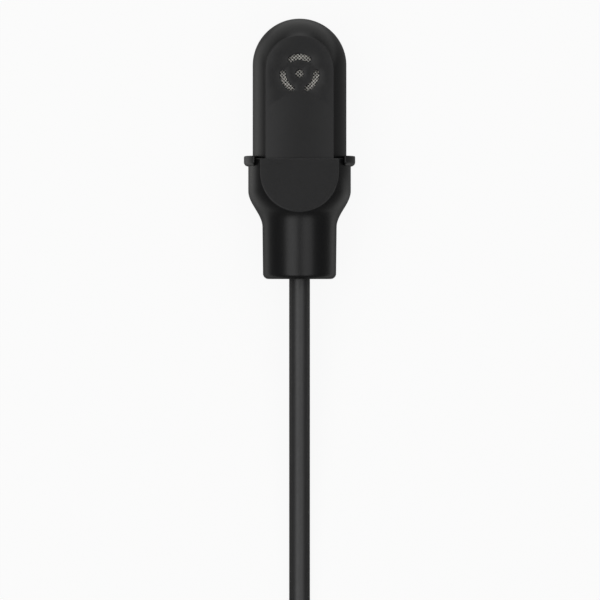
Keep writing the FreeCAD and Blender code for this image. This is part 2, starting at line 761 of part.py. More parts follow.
def sleeve():
    """Ears, shoulders and tail in one, cut flat front and back and bored for what it holds."""
    stations = []
    flat_end = "(Size.flat_straight + Size.flat_half_width)"
    places = [
        (f"(Size.flat_straight + Size.flat_half_width * sin({angle} deg))",
         f"(Size.flat_half_width * cos({angle} deg))")
        for angle in FLAT_ANGLES
    ]
    places.append((f"(({flat_end} + Size.shoulder_end) / 2)", "0"))
    for index, (down, flat_half) in enumerate(places):
        half_width = eased("Size.sleeve_half_width", "Size.tail_radius",
                           "Size.shoulder_start", "Size.shoulder_end", down)
        beyond = f"({down} > {flat_end} ? 0 : {deep_enough(half_width, flat_half)})"
        half_depth = f"max({half_width} + 0.001; {beyond})"
        stations.append(oval(f"shoulder_{index}", half_width, half_depth, f"({MOUTH_Y} - {down})"))
    end_y = f"({MOUTH_Y} - Size.shoulder_end)"
    stations.append(circle("shoulder_foot", "Size.tail_radius", end_y))
    shoulders = document.addObject("Part::Loft", "shoulders")
    shoulders.Sections = stations
    shoulders.Solid = True
    shoulders.Ruled = True

    throat = drawn_out("throat", "throat_oval", "Size.sleeve_half_width", CROWN_HALF,
                       f"({MOUTH_Y} - Size.mouth_drop)", "(Size.flat_straight - Size.mouth_drop)")

    tail = document.addObject("Part::Cylinder", "tail")
    tail.setExpression("Radius", "Size.tail_radius")
    tail.setExpression("Height", f"({end_y} - {TAIL_Y})")
    put(tail, (("0", TAIL_Y, AXIS_Z), ACROSS_BODY))
    tail_end = number(TAIL_Y)
    soft_tail = softened("Chamfer", tail, "soft_tail", "Size.tail_bevel",
                         lambda edge: abs(edge.CenterOfMass.y - tail_end) < 0.01)

    form = fuse("sleeve_form", [ears(), throat, shoulders, soft_tail])
    slab = block(
        "between_flats", "4 * Size.ear_half_width", "2 * Size.sleeve_length", "2 * Size.sleeve_half_depth",
        ("(-2 * Size.ear_half_width)", f"({TAIL_Y} - Size.sleeve_length / 2)", "0"))
    flatted = document.addObject("Part::MultiCommon", "flatted_form")
    flatted.Shapes = [form, slab]

    socket = head_section("socket", "Size.socket_clearance", f"({MOUTH_Y} + 1)",
                          "(Size.paddle_seat + Size.seal_thickness + 1)")
    chamber = cylinder("chamber", "Size.chamber_radius", f"({MOUTH_Y} - {BUSH_Y})", MOUTH_Y)
    tail_bore = cylinder("tail_bore", "Size.bush_radius", "Size.sleeve_length", MOUTH_Y)
    hollows = fuse("sleeve_hollows", [socket, chamber, tail_bore])
    whole = document.addObject("Part::Cut", "sleeve")
    whole.Base = flatted
    whole.Tool = hollows
    document.recompute()
    finish(whole, "sleeve")

    plug = head_section("seal_form", "0", FOOT_Y, "Size.seal_thickness")
    hole = cylinder("seal_hole", "Size.chamber_radius", "3 * Size.seal_thickness",
                    f"({FOOT_Y} + Size.seal_thickness)")
    seal = document.addObject("Part::Cut", "socket_seal")
    seal.Base = plug
    seal.Tool = hole
    finish(seal, "socket_seal")


def cable_entry():
    """The rubber bush in the tail and the ferrule crimped on the cable inside it."""
    bush_top = "(-Size.bush_length)"
    bush_r = "(Size.bush_radius - Size.entry_clearance)"
    turned("cable_bush", TAIL_FRAME, [
        (ENTRY_R, "(-Size.bush_recess)"),
        (bush_r, "(-Size.bush_recess)"),
        (bush_r, bush_top),
        ("(Size.chamber_radius - Size.entry_clearance)", bush_top),
        ("(Size.chamber_radius - Size.entry_clearance)", f"({bush_top} - Size.bush_flange)"),
        (ENTRY_R, f"({bush_top} - Size.bush_flange)"),
    ])
    low = f"({bush_top} - Size.bush_flange)"
    ring("crimp_ferrule", TAIL_FRAME, ENTRY_R, "Size.ferrule_radius", f"({low} - Size.ferrule_length)", low)


# Wires and cord

def route(points, label, radii=None):
    """Straight runs joined by tangent arcs, each as large as its two runs allow or as given."""
    edges, used, start = [], [], points[0]
    for index, (before, corner, after) in enumerate(zip(points, points[1:], points[2:])):
        back, ahead = before - corner, after - corner
        turn = math.pi - back.getAngle(ahead)
        radius = radii[index] if radii else 0.45 * min(back.Length, ahead.Length) / math.tan(turn / 2)
        cut = radius * math.tan(turn / 2)
        enter = corner + back.normalize() * cut
        leave = corner + ahead.normalize() * cut
        inward = ((enter + leave) * 0.5 - corner).normalize()
        through = corner + inward * (radius / math.cos(turn / 2) - radius)
        if enter.distanceToPoint(start) > 1e-6:
            edges.append(Part.LineSegment(start, enter).toShape())
        edges.append(Part.Arc(enter, through, leave).toShape())
        used.append(round(radius, 2))
        start = leave
    edges.append(Part.LineSegment(start, points[-1]).toShape())
    print(f"{label}: radii {sorted(set(used)) if radii else used}")
    return Part.Wire(edges)


def tube(path, radius, sides, flats_out=False):
    """A faceted tube along a path; its corners lie on the radius, or its flats do."""
    edge = path.OrderedEdges[0]
    start = edge.valueAt(edge.FirstParameter)
    way = edge.tangentAt(edge.FirstParameter)
    side_way = way.cross(FreeCAD.Vector(0, 0, 1))
    if side_way.Length < 0.1:
        side_way = FreeCAD.Vector(1, 0, 0)
    side_way.normalize()
    up = side_way.cross(way)
    reach = radius / math.cos(math.pi / sides) if flats_out else radius
    angles = [(2 * index + flats_out) * math.pi / sides for index in range(sides)]
    corners = [start + side_way * (reach * math.cos(a)) + up * (reach * math.sin(a)) for a in angles]
    profile = Part.makePolygon(corners + corners[:1])
    shape = path.makePipeShell([profile], True, False)
    area = Part.Face(profile).Area
    share = shape.Volume / (area * path.Length)
    if abs(share - 1) > 0.01:
        raise RuntimeError(f"a tube holds {share:.3f} of its section times its length")
    return shape


def soft_piece(label, shape):
    """A piece whose form comes from a path, under its own name."""
    piece = document.addObject("Part::Feature", label)
    piece.Shape = shape
    piece.Placement = FreeCAD.Placement()
    return finish(piece, label)


def point(x, y, z):
    return FreeCAD.Vector(x, y, z)


def inner_wires():
    """The two wires from the capsule's terminals to the cut end of the cable."""
    capsule_y, axis_z = number(CAPSULE_Y), number(AXIS_Z)
    pad_z = number(f"{BOARD_BACK_Z} - Size.terminal_height")
    low_z = (pad_z + number(FLOOR_Z)) / 2
    spread, offset = number("Size.wire_spread"), number("Size.terminal_offset")
    reach_y = number(f"{CAPSULE_Y} - Size.can_radius - Size.wire_reach")
    entry_y, jacket_y = number(f"{FOOT_Y} + Size.wire_entry"), number(JACKET_Y)
    for label, side in (("signal_wire", -1), ("ground_wire", 1)):
        points = [
            point(side * offset, capsule_y, pad_z),
            point(side * offset, capsule_y, low_z),
            point(side * offset, reach_y, low_z),
            point(side * spread, entry_y, axis_z),
            point(side * spread, jacket_y, axis_z),
        ]
        path = route(points, label)
        soft_piece(label, tube(path, number("Size.wire_radius"), WIRE_SIDES))


def layer_height(layer):
    """Height of the loops' centre line, one layer on another inside the strap."""
    lowest = number(f"Size.tie_thickness + Size.tie_gap + {CORD_R}")
    return lowest + layer * number("Size.layer_step")


def lead_points(first_waist):
    """The free cable from inside the tail, down to the surface and out to the hank."""
    radius, axis_z = number(CORD_R), number(AXIS_Z)
    corner = point(
        -number(f"{FOLD_OUTER_R} + Size.lead_aside"),
        number("Size.lead_swing - Size.hank_start"),
        layer_height(0),
    )
    return [
        point(0, number(JACKET_Y), axis_z),
        point(0, number(f"{TAIL_Y} - Size.exit_run"), axis_z),
        point(0, number(f"{TAIL_Y} - Size.exit_run - Size.descent"), radius),
        point(0, number("Size.lead_turn - Size.hank_start"), radius),
        corner,
        corner + (first_waist - corner) * 0.35,
    ]


def fold_corner(fold, x, waist):
    """The corner of a fold on the side of one of its runs, so that the fold's arc touches the run."""
    centre, radius, way = fold
    aside = abs(waist.x - centre.x)
    along = abs(waist.y - centre.y)
    lean = math.asin(radius / math.hypot(aside, along)) - math.atan2(aside, along)
    reach = radius * math.tan(math.pi / 4 + lean / 2)
    return centre + point(math.copysign(reach, x - centre.x), way * radius, 0)


def hank_corners():
    """Corners and radii of the hank's loops, from its near left side to its near right.

    Five half turns spiral in, the next five spiral out one layer up, and so on. Every run is
    drawn in at the waist, and the last run of a spiral climbs to the next layer past the waist.
    """
    half_run = number("Size.hank_run") / 2
    middle_y = -number("Size.hank_start") - half_run
    step, draw = number("Size.loop_step") / 2, number("Size.waist_draw")
    outer, inner = number(FOLD_OUTER_R), number("Size.fold_inner_radius")
    bend = number("Size.run_bend_radius")
    x, way = -outer, -1
    waist = point(draw - outer, middle_y, layer_height(0))
    corners, radii = [waist], [bend]
    for turn in range(LAYERS * HALF_TURNS_PER_LAYER - 1):
        layer, place = divmod(turn, HALF_TURNS_PER_LAYER)
        z = layer_height(layer)
        radius = inner + step * place if layer % 2 else outer - step * place
        next_x = x - math.copysign(2 * radius, x)
        next_waist = point(next_x - math.copysign(draw, next_x), middle_y, z)
        fold = (point((x + next_x) / 2, middle_y + way * half_run, z), radius, way)
        entry = fold_corner(fold, x, waist)
        if z > waist.z:
            run = point(entry.x - waist.x, entry.y - waist.y, 0)
            corners += [waist + run * 0.15, waist + run * 0.5 + point(0, 0, z - waist.z)]
            radii += [bend, bend]
        corners += [entry, fold_corner(fold, next_x, next_waist), next_waist]
        radii += [radius, radius, bend]
        x, way, waist = next_x, -way, next_waist
    return corners, radii


def least_gap(path, diameter):
    """The smallest distance between stretches of a path that lie far apart along it."""
    spacing = diameter / 2
    count = int(path.Length / spacing)
    points = path.discretize(Number=count)
    cell = diameter * 2
    cells = {}
    for index, spot in enumerate(points):
        key = tuple(int(math.floor(value / cell)) for value in spot)
        cells.setdefault(key, []).append(index)
    shifts = [(i, j, k) for i in (-1, 0, 1) for j in (-1, 0, 1) for k in (-1, 0, 1)]
    least = math.inf
    for (i, j, k), own in cells.items():
        near = [other for a, b, c in shifts for other in cells.get((i + a, j + b, k + c), [])]
        for first in own:
            for other in near:
                if other - first > 10:
                    least = min(least, points[first].distanceToPoint(points[other]))
    return least - diameter


def tail_points(last_waist):
    """The cable from the hank's last run, round in a slanting half turn and back into the plug."""
    low, plug_z = layer_height(LAYERS - 1), number(PLUG_Z)

    def beside(inward, ahead, share):
        """A point so far inside the outer fold, so far ahead of the hank and so far up."""
        across = number(f"{FOLD_OUTER_R} - {inward}")
        return point(across, number(f"{ahead} - Size.hank_start"), low + share * (plug_z - low))

    corner = beside("(-Size.return_aside)", "Size.return_ahead", 0)
    return [
        corner + (last_waist - corner) * 0.28,
        corner,
        beside("Size.return_rise_in", "Size.return_rise_ahead", 0.293),
        beside("Size.return_crest_in", "Size.return_crest_ahead", 0.707),
        point(0, number(f"{PLUG_Y} + Size.return_level"), plug_z),
        point(0, number(f"{PLUG_Y} - {CORD_END_T}"), plug_z),
    ]


def cord():
    """The one cable, in the three stretches it lies in: free, wound up, and back into the plug."""
    radius = number(CORD_R)
    corners, radii = hank_corners()
    lead_route = lead_points(corners[0])
    tail_route = tail_points(corners[-1])
    lead = route(lead_route, "cord_lead")
    hank = route([lead_route[-1]] + corners + [tail_route[0]], "cord_hank", radii)
    tail = route(tail_route, "cord_tail")
    gap = least_gap(hank, 2 * radius)
    print(f"cord_hank: {hank.Length:.1f} mm in the loops, least gap to itself {gap:.2f} mm")
    if gap < 0.4:
        raise RuntimeError("the hank's loops are too close together")
    soft_piece("cord_lead", tube(lead, radius, CORD_SIDES))
    soft_piece("cord_hank", tube(hank, radius, HANK_SIDES, True))
    soft_piece("cord_tail", tube(tail, radius, CORD_SIDES))
    print(f"cord: {lead.Length + hank.Length + tail.Length:.1f} mm in all")


def rounded_loop(name, half_width, low, high, corner, y_high, length):
    """A bar with a round-cornered oblong section, standing on its narrow side."""
    bar = block(f"{name}_block", f"2 * {half_width}", length, f"{high} - {low}",
                (f"(-{half_width})", f"({y_high} - {length})", low))
    return softened("Fillet", bar, name, corner,
                    lambda edge: abs(edge.tangentAt(edge.FirstParameter).y) > 0.99)


def hank_tie():
    """A flat strap closed round the waist of the hank."""
    waist_half = f"({FOLD_OUTER_R} - Size.waist_draw + {CORD_R} + Size.tie_side_room)"
    middle_y = "(-Size.hank_start - Size.hank_run / 2)"
    outer = rounded_loop(
        "tie_outside", f"({waist_half} + Size.tie_thickness)", "0", TIE_TOP_Z,
        "(Size.tie_corner_radius + Size.tie_thickness)",
        f"({middle_y} + Size.tie_width / 2)", "Size.tie_width")
    inner = rounded_loop(
        "tie_inside", waist_half, "Size.tie_thickness", f"({TIE_TOP_Z} - Size.tie_thickness)",
        "Size.tie_corner_radius", f"({middle_y} + Size.tie_width)", "(2 * Size.tie_width)")
    strap = document.addObject("Part::Cut", "hank_tie")
    strap.Base = outer
    strap.Tool = inner
    finish(strap, "hank_tie")


# Locking plug

def cable_boot():
    """The rubber boot that keeps the cable from kinking at the plug, thicker step by step."""
    neck_end = f"({SHELL_IN_T} + Size.turned_clearance)"
    heights = ["0"]
    heights += [f"({step} / {BOOT_STEPS} * Size.boot_length)" for step in range(1, BOOT_STEPS + 1)]
    corners = [(ENTRY_R, "0")]
    for index in range(BOOT_STEPS):
        growth = f"{index} / {BOOT_STEPS - 1} * (Size.boot_base_radius - Size.boot_tip_radius)"
        radius = f"(Size.boot_tip_radius + {growth})"
        corners += [(radius, heights[index]), (radius, heights[index + 1])]
    corners += [
        ("Size.boot_neck_radius", SHELL_T),
        ("Size.boot_neck_radius", neck_end),
        ("Size.boot_flange_radius", neck_end),
        ("Size.boot_flange_radius", f"({neck_end} + Size.boot_flange)"),
        (ENTRY_R, f"({neck_end} + Size.boot_flange)"),
    ]
    turned("cable_boot", PLUG_FRAME, corners)


def back_shell():
    hole = "(Size.boot_neck_radius + Size.turned_clearance)"
    turned("back_shell", PLUG_FRAME, [
        (hole, SHELL_T),
        ("(Size.shell_radius - Size.shell_edge)", SHELL_T),
        ("Size.shell_radius", f"({SHELL_T} + Size.shell_edge)"),
        ("Size.shell_radius", FRONT_T),
        (SHELL_BORE_R, FRONT_T),
        (SHELL_BORE_R, SHELL_IN_T),
        (hole, SHELL_IN_T),
    ])
    liner_r = f"({SHELL_BORE_R} - Size.turned_clearance)"
    start = f"({FLANGE_T} - Size.turned_clearance - Size.liner_length)"
    ring("insulating_liner", PLUG_FRAME, f"({liner_r} - Size.liner_wall)", liner_r, start,
         f"({FLANGE_T} - Size.turned_clearance)")


def plug_contacts():
    """Sleeve and tip contacts, one inside the other, with the insulator between them."""
    ground_bore = "(Size.insulator_radius + Size.entry_clearance)"
    turned("plug_sleeve", PLUG_FRAME, [
        (ground_bore, FLANGE_T),
        (FLANGE_R, FLANGE_T),
        (FLANGE_R, FRONT_T),
        ("Size.boss_radius", FRONT_T),
        ("Size.boss_radius", CLIP_END_T),
        ("Size.plug_radius", CLIP_END_T),
        ("Size.plug_radius", SLEEVE_END_T),
        (ground_bore, SLEEVE_END_T),
    ])
    rod_bore = "(Size.tip_rod_radius + Size.entry_clearance)"
    insulator_start = f"({FLANGE_T} - Size.lug_step)"
    turned("plug_insulator", PLUG_FRAME, [
        (rod_bore, insulator_start),
        ("Size.insulator_radius", insulator_start),
        ("Size.insulator_radius", SLEEVE_END_T),
        ("Size.plug_radius", SLEEVE_END_T),
        ("Size.plug_radius", TIP_HEAD_T),
        (rod_bore, TIP_HEAD_T),
    ])
    turned("plug_tip", PLUG_FRAME, [
        ("0", TIP_LUG_T),
        ("Size.tip_rod_radius", TIP_LUG_T),
        ("Size.tip_rod_radius", TIP_HEAD_T),
        ("(Size.plug_radius * 0.72)", TIP_HEAD_T),
        ("(Size.plug_radius * 0.98)", f"({TIP_HEAD_T} + Size.tip_length * 0.4)"),
        ("(Size.plug_radius * 0.9)", f"({TIP_HEAD_T} + Size.tip_length * 0.58)"),
        ("(Size.plug_radius * 0.3)", TIP_T),
        ("0", TIP_T),
    ])


def plug_bar(name, radius, start, length):
    """A round bar on the plug's line."""
    bar = document.addObject("Part::Cylinder", name)
    bar.setExpression("Radius", radius)
    bar.setExpression("Height", length)
    put(bar, (("0", f"({PLUG_Y} - {start})", PLUG_Z), TOWARD_TAIL))
    return bar


def cable_clamp():
    """A crimp round the cable and the arm that ties it to the plug's ground sleeve."""
    grip_r = f"({ENTRY_R} + Size.clamp_wall)"
    left, far = "(-Size.clamp_arm_width / 2)", f"({PLUG_Y} - {FLANGE_T})"
    lowest = f"({PLUG_Z} - {grip_r} - 4 * Size.clamp_wall)"
    grip = plug_bar("clamp_grip", grip_r, CLAMP_T, "Size.clamp_length")
    arm = block("clamp_arm", "Size.clamp_arm_width", f"({FLANGE_T} - {CLAMP_T})", "(2 * Size.clamp_wall)",
                (left, far, lowest))
    link = block("clamp_link", "Size.clamp_arm_width", "Size.clamp_length", f"({PLUG_Z} - {lowest})",
                 (left, f"({PLUG_Y} - {CLAMP_T} - Size.clamp_length)", lowest))
    clamp = document.addObject("Part::Cut", "cable_clamp")
    clamp.Base = fuse("clamp_body", [grip, arm, link])
    clamp.Tool = plug_bar("clamp_bore", ENTRY_R, f"({CLAMP_T} - 1)", "(Size.clamp_length + 2)")
    finish(clamp, "cable_clamp")


def connector_wire():
    """The signal wire from the cut end of the cable to the end of the tip's rod."""
    z, spread, straight = number(PLUG_Z), number("Size.wire_spread"), number("Size.wire_straight")
    cut, lug = number(f"{PLUG_Y} - {CORD_END_T}"), number(f"{PLUG_Y} - {TIP_LUG_T}")
    path = route([
        point(0, cut, z - spread),
        point(0, cut - straight, z - spread),
        point(0, lug + straight, z + spread / 2),
        point(0, lug, z + spread / 2),
    ], "connector_wire")
    soft_piece("connector_wire", tube(path, number("Size.wire_radius"), WIRE_SIDES))


def locking_collar():
    """The ring that turns on the plug and screws it fast, grooved for the fingers, with its nose."""
    bore = "(Size.boss_radius + Size.collar_bore_clearance)"
    step = f"({BOSS_T} - Size.collar_gap)"
    body = turned("locking_collar", PLUG_FRAME, [
        (bore, COLLAR_T),
        ("Size.collar_radius", COLLAR_T),
        ("Size.collar_radius", GRIP_END_T),
        ("Size.nose_radius", GRIP_END_T),
        ("Size.nose_radius", NOSE_T),
        ("Size.nose_recess_radius", NOSE_T),
        ("Size.nose_recess_radius", step),
        (bore, step),
    ])
    notch = sketch_on(body, "XY_Plane", "grip_outline", {"z": COLLAR_T})
    outline(notch, [
        ("0", "(Size.collar_radius - Size.grip_depth)"),
        ("(1.5 * Size.grip_depth)", "(Size.collar_radius + Size.grip_depth / 2)"),
        ("(-1.5 * Size.grip_depth)", "(Size.collar_radius + Size.grip_depth / 2)"),
    ])
    groove = pocket(body, notch, "grip_groove", "Size.collar_length", True)
    repeat_round(body, groove, (notch, ["N_Axis"]), GRIP_COUNT, "grip_grooves")
    clip_bore = "(Size.boss_radius + Size.entry_clearance)"
    ring("collar_clip", PLUG_FRAME, clip_bore, "Size.clip_radius", BOSS_T, CLIP_END_T)


front_housing()
rear_housing()
behind_the_slots()
capsule_boot()
capsule()
sleeve()
cable_entry()
inner_wires()
cord()
hank_tie()
cable_boot()
back_shell()
cable_clamp()
connector_wire()
plug_contacts()
locking_collar()
document.recompute()

# Check and write

for item in document.Objects:
    if any(word in item.State for word in ("Invalid", "Error")):
        raise RuntimeError(f"{item.Name} failed: {item.State}")
labels = [piece.Label for piece in finished]
if len(set(labels)) != len(labels):
    raise RuntimeError("two pieces have one name")
for piece in finished:
    if piece.Shape.isNull() or not piece.Shape.isValid() or not piece.Shape.Solids:
        raise RuntimeError(f"{piece.Label} has no sound shape")

os.makedirs("parts", exist_ok=True)
for piece in finished:
    piece.Shape.exportStep(f"parts/{piece.Label}.step")
print(f"{len(finished)} pieces written")
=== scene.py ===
import math
from functools import partial

import bmesh
import bpy
from bpy.props import FloatProperty, FloatVectorProperty, IntProperty, PointerProperty
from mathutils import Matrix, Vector


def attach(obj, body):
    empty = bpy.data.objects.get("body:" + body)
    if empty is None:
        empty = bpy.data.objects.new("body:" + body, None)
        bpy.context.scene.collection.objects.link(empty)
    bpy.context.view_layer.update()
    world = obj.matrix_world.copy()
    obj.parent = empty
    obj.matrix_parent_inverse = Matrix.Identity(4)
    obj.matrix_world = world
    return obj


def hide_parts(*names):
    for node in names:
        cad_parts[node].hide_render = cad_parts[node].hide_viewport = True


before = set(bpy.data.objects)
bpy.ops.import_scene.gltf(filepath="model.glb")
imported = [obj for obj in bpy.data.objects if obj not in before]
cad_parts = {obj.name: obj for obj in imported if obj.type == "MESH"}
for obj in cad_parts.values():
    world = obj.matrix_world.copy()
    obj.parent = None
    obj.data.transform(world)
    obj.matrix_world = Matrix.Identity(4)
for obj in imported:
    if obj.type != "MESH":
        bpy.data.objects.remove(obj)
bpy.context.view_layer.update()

# A miniature lavalier microphone lying face up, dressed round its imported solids.
# The head points along +Y, the slotted face looks up along +Z, and the cable leaves along -Y.
# Lengths are in metres, in the frame of the solids.

bl_info = {
    "name": "Lavalier Microphone",
    "version": (1, 0, 0),
    "blender": (4, 5, 0),
    "location": "View3D > Sidebar > Microphone",
    "description": "Builds a miniature clip-on microphone with its cable and locking plug",
    "category": "Add Mesh",
}

MM = 0.001
MICROPHONE = "microphone"
COLLAR = "collar"


def linear(code):
    """An sRGB hex colour as linear red, green and blue."""
    values = [int(code[i:i + 2], 16) / 255 for i in (1, 3, 5)]
    return tuple(v / 12.92 if v <= 0.04045 else ((v + 0.055) / 1.055) ** 2.4 for v in values)


# Sizes and colours


def length_field(label, description, amount):
    """A length that a user may change, its default given in millimetres."""
    return FloatProperty(name=label, description=description, default=amount * MM, unit="LENGTH")


def colour_field(label, description, code):
    """A colour that a user may change, its default given as an sRGB hex code."""
    return FloatVectorProperty(
        name=label, description=description, default=linear(code), subtype="COLOR")


class HeadSizes(bpy.types.PropertyGroup):
    """The flat-faced head that holds the capsule"""

    top_y: length_field("Top", "Where the dome of the head ends", 10.0)
    foot_y: length_field("Foot", "Where the head ends inside the sleeve", -2.9)
    axis_z: length_field("Axis height", "Height of the middle line above the surface", 3.2)
    half_width: length_field("Half width", "Half of the greatest width", 3.6)
    half_depth: length_field("Half depth", "From the middle line to the flat face", 2.9)
    side_inset: length_field("Side inset", "How far the sides draw in up to the face", 1.0)
    top_inset: length_field("Top inset", "How far the dome draws in up to the face", 1.45)
    edge_round: length_field("Edge round", "Rounding between the sides and the face", 0.07)
    wall: length_field("Wall", "Thickness of the face", 0.4)
    foot_wall: length_field("Foot wall", "Thickness of the foot", 0.5)
    cavity_half_width: length_field("Cavity half width", "Half of the width inside", 2.65)


class GrilleSizes(bpy.types.PropertyGroup):
    """The sound slots and the woven wire behind them"""

    centre_y: length_field("Centre", "Where the middle of the slots is", 5.7)
    slot_inner: length_field("Slot inner radius", "Inner radius of the bent slots", 1.05)
    slot_outer: length_field("Slot outer radius", "Outer radius of the bent slots", 1.5)
    slot_half_angle: FloatProperty(
        name="Slot half angle", description="Half of the angle that a slot spans",
        default=math.radians(31), subtype="ANGLE")
    hole_radius: length_field("Hole radius", "Radius of the hole in the middle", 0.31)
    mouth_round: length_field("Mouth round", "Width of the softened edge round the slots", 0.04)
    mesh_radius: length_field("Mesh radius", "Radius of the disc of woven wire", 2.18)
    wire_radius: length_field("Wire radius", "Radius of one wire of the mesh", 0.05)
    wire_pitch: length_field("Wire pitch", "Distance between two wires", 0.19)


class SleeveSizes(bpy.types.PropertyGroup):
    """The sleeve: two ears at the mouth, U-shaped flats front and back, shoulders and round tail"""

    top_y: length_field("Top", "Where the ears start", -0.57)
    length: length_field("Length", "From the ears to the end of the tail", 9.43)
    half_width: length_field("Half width", "Half width under the ears", 3.94)
    half_depth: length_field("Half depth", "From the middle line to the flats", 3.2)
    squareness: FloatProperty(
        name="Squareness", description="How full the section is at the mouth; 2 is an ellipse",
        default=2.5, min=2)
    ear_half_width: length_field("Ear half width", "Half width across the ears", 4.275)
    ear_inner_half: length_field("Ear inner end", "From the middle line to the ears' inner ends", 3.42)
    ear_height: length_field("Ear height", "Height of the ears", 0.78)
    ear_round: length_field("Ear round", "Rounding of the ears toward the tail", 0.31)
    mouth_drop: length_field("Mouth drop", "How far the mouth lies below the top of the ears", 0.21)
    lip_round: length_field("Lip round", "Rounding of the mouth's edge", 0.09)
    flat_half_width: length_field("Flat half width", "Half width of the flats", 3.03)
    flat_straight: length_field("Flat straight", "Where the half-round end of the flats starts", 1.26)
    flat_round: length_field("Flat round", "Softness of the edge round the flats", 0.06)
    run_out: length_field("Run-out", "From the end of the flats to the full round of the tail", 1.6)
    shoulder_start: length_field("Shoulder start", "Where the shoulders start", 2.65)
    shoulder_end: length_field("Shoulder end", "Where the shoulders meet the tail", 5.46)
    tail_radius: length_field("Tail radius", "Radius of the tail", 2.85)
    tail_draft: length_field("Tail draft", "How much thinner the tail is at its end", 0.04)
    tail_round: length_field("Tail round", "Rounding at the end of the tail", 0.42)
    tail_bore: length_field("Tail bore", "Radius of the bore for the rubber bush", 1.5)
    chamber_radius: length_field("Chamber radius", "Radius of the hollow over the bush", 1.95)
    socket_clearance: length_field("Socket clearance", "Gap round the head in its socket", 0.03)


class CordSizes(bpy.types.PropertyGroup):
    """The cable, its hank and the strap round it"""

    diameter: length_field("Diameter", "Thickness of the cable", 1.6)
    length: length_field("Length", "Length of the whole cable", 1192.0)
    near_y: length_field("Near folds", "Where the folds nearer the microphone have their centres", -52.6)
    run: length_field("Run", "Distance between the centres of the folds", 32.0)
    outer_fold: length_field("Outer fold", "Radius of the widest folds", 10.0)
    inner_fold: length_field("Inner fold", "Radius of the narrowest folds", 5.6)
    fold_step: length_field("Fold step", "How much a fold differs from the next", 1.1)
    layer_step: length_field("Layer step", "Height from one layer of loops to the next", 2.15)
    lowest_z: length_field("Lowest layer", "Height of the lowest layer's middle line", 1.5)
    waist_draw: length_field("Waist draw", "How far the strap draws the runs in", 1.7)
    layers: IntProperty(name="Layers", description="Layers of loops in the hank", default=4, min=1)
    folds_per_layer: IntProperty(
        name="Folds per layer", description="Half turns in one layer of the hank", default=5, min=1)
    strap_width: length_field("Strap width", "Width of the strap", 5.0)
    strap_thickness: length_field("Strap thickness", "Thickness of the strap", 0.6)
    strap_half_reach: length_field("Strap half reach", "Half of the width across the closed strap", 10.1)
    strap_top_z: length_field("Strap top", "Height of the closed strap", 9.45)
    strap_corner: length_field("Strap corner", "Radius of the strap's outer corners", 1.35)


class PlugSizes(bpy.types.PropertyGroup):
    """The locking plug, in places counted from where the cable goes in"""

    start_y: length_field("Start", "Where the cable goes into the boot", -52.0)
    axis_z: length_field("Axis height", "Height of the plug's line", 13.7)
    shell_radius: length_field("Shell radius", "Radius of the back shell", 4.25)
    collar_radius: length_field("Collar radius", "Radius of the locking collar", 4.7)
    grip_depth: length_field("Grip depth", "Depth of the collar's grip grooves", 0.3)
    grip_count: IntProperty(
        name="Grip grooves", description="Grip grooves round the collar", default=12, min=3)
    nose_radius: length_field("Nose radius", "Radius over the collar's thread", 3.0)
    thread_pitch: length_field("Thread pitch", "Pitch of the collar's thread", 0.5)
    plug_radius: length_field("Plug radius", "Radius of the contact barrel", 1.75)


class Finishes(bpy.types.PropertyGroup):
    """Colours of the finishes"""

    housing: colour_field("Housing", "Colour of the moulded head and sleeve", "#121213")
    jacket: colour_field("Cable jacket", "Colour of the cable", "#111112")
    wire_mesh: colour_field("Wire mesh", "Colour of the woven steel wire", "#f2f0ec")
    strap: colour_field("Strap", "Colour of the nylon strap", "#1d1d1f")
    plated: colour_field("Plating", "Colour of the nickel plating", "#d3cfc6")
    lacquer: colour_field("Lacquer", "Colour of the lacquered metal", "#191a1b")


class StageSettings(bpy.types.PropertyGroup):
    """Floor, lamps and camera"""

    floor: colour_field("Floor", "Colour of the floor", "#e4e4e2")
    view_width: length_field("View width", "Width of the picture at the microphone's middle line", 46.08)
    view_x: length_field("View across", "Middle of the picture across", 0.035)
    view_y: length_field("View along", "Middle of the picture along the microphone", -11.61)
    camera_height: length_field("Camera distance", "From the camera to the middle line", 600.0)
    lamp_reach: length_field("Lamp distance", "From the softboxes to the microphone", 500.0)
    key_power: FloatProperty(
        name="Left softbox", description="Power of the softbox on the left", default=1.33, unit="POWER")
    fill_power: FloatProperty(
        name="Right softbox", description="Power of the softbox on the right", default=0.9, unit="POWER")
    back_power: FloatProperty(
        name="Back softbox", description="Power of the softbox past the head", default=0.52, unit="POWER")
    room_light: FloatProperty(
        name="Room light", description="Strength of the even light from all round", default=0.1, min=0)


class LavalierSettings(bpy.types.PropertyGroup):
    """All sizes and colours of the microphone and its stage"""

    head: PointerProperty(type=HeadSizes)
    grille: PointerProperty(type=GrilleSizes)
    sleeve: PointerProperty(type=SleeveSizes)
    cord: PointerProperty(type=CordSizes)
    plug: PointerProperty(type=PlugSizes)
    finishes: PointerProperty(type=Finishes)
    stage: PointerProperty(type=StageSettings)


# Mesh code

WELD = 2e-8


def skin(bm, rings, closed=True):
    """Quads through rings of equal count; the last joins the first, or a face closes each end."""
    loops = [loop_of(bm, ring) for ring in rings]
    for low, high in zip(loops, loops[1:] + loops[:1] if closed else loops[1:]):
        wall(bm, low, high)
    if not closed:
        bm.faces.new(loops[0])
        bm.faces.new(loops[-1])


def loop_of(bm, points):
    """New vertices at these points."""
    return [bm.verts.new(spot) for spot in points]


def wall(bm, low, high):
    """Quads between two loops of equal count."""
    for i, vert in enumerate(low):
        j = (i + 1) % len(low)
        bm.faces.new((vert, low[j], high[j], high[i]))


def plate(bm, loops):
    """A flat face between an outer loop and the loops of its holes."""
    edges = []
    for loop in loops:
        edges += [bm.edges.get((vert, loop[(i + 1) % len(loop)])) for i, vert in enumerate(loop)]
    bmesh.ops.triangle_fill(bm, use_beauty=True, edges=edges)


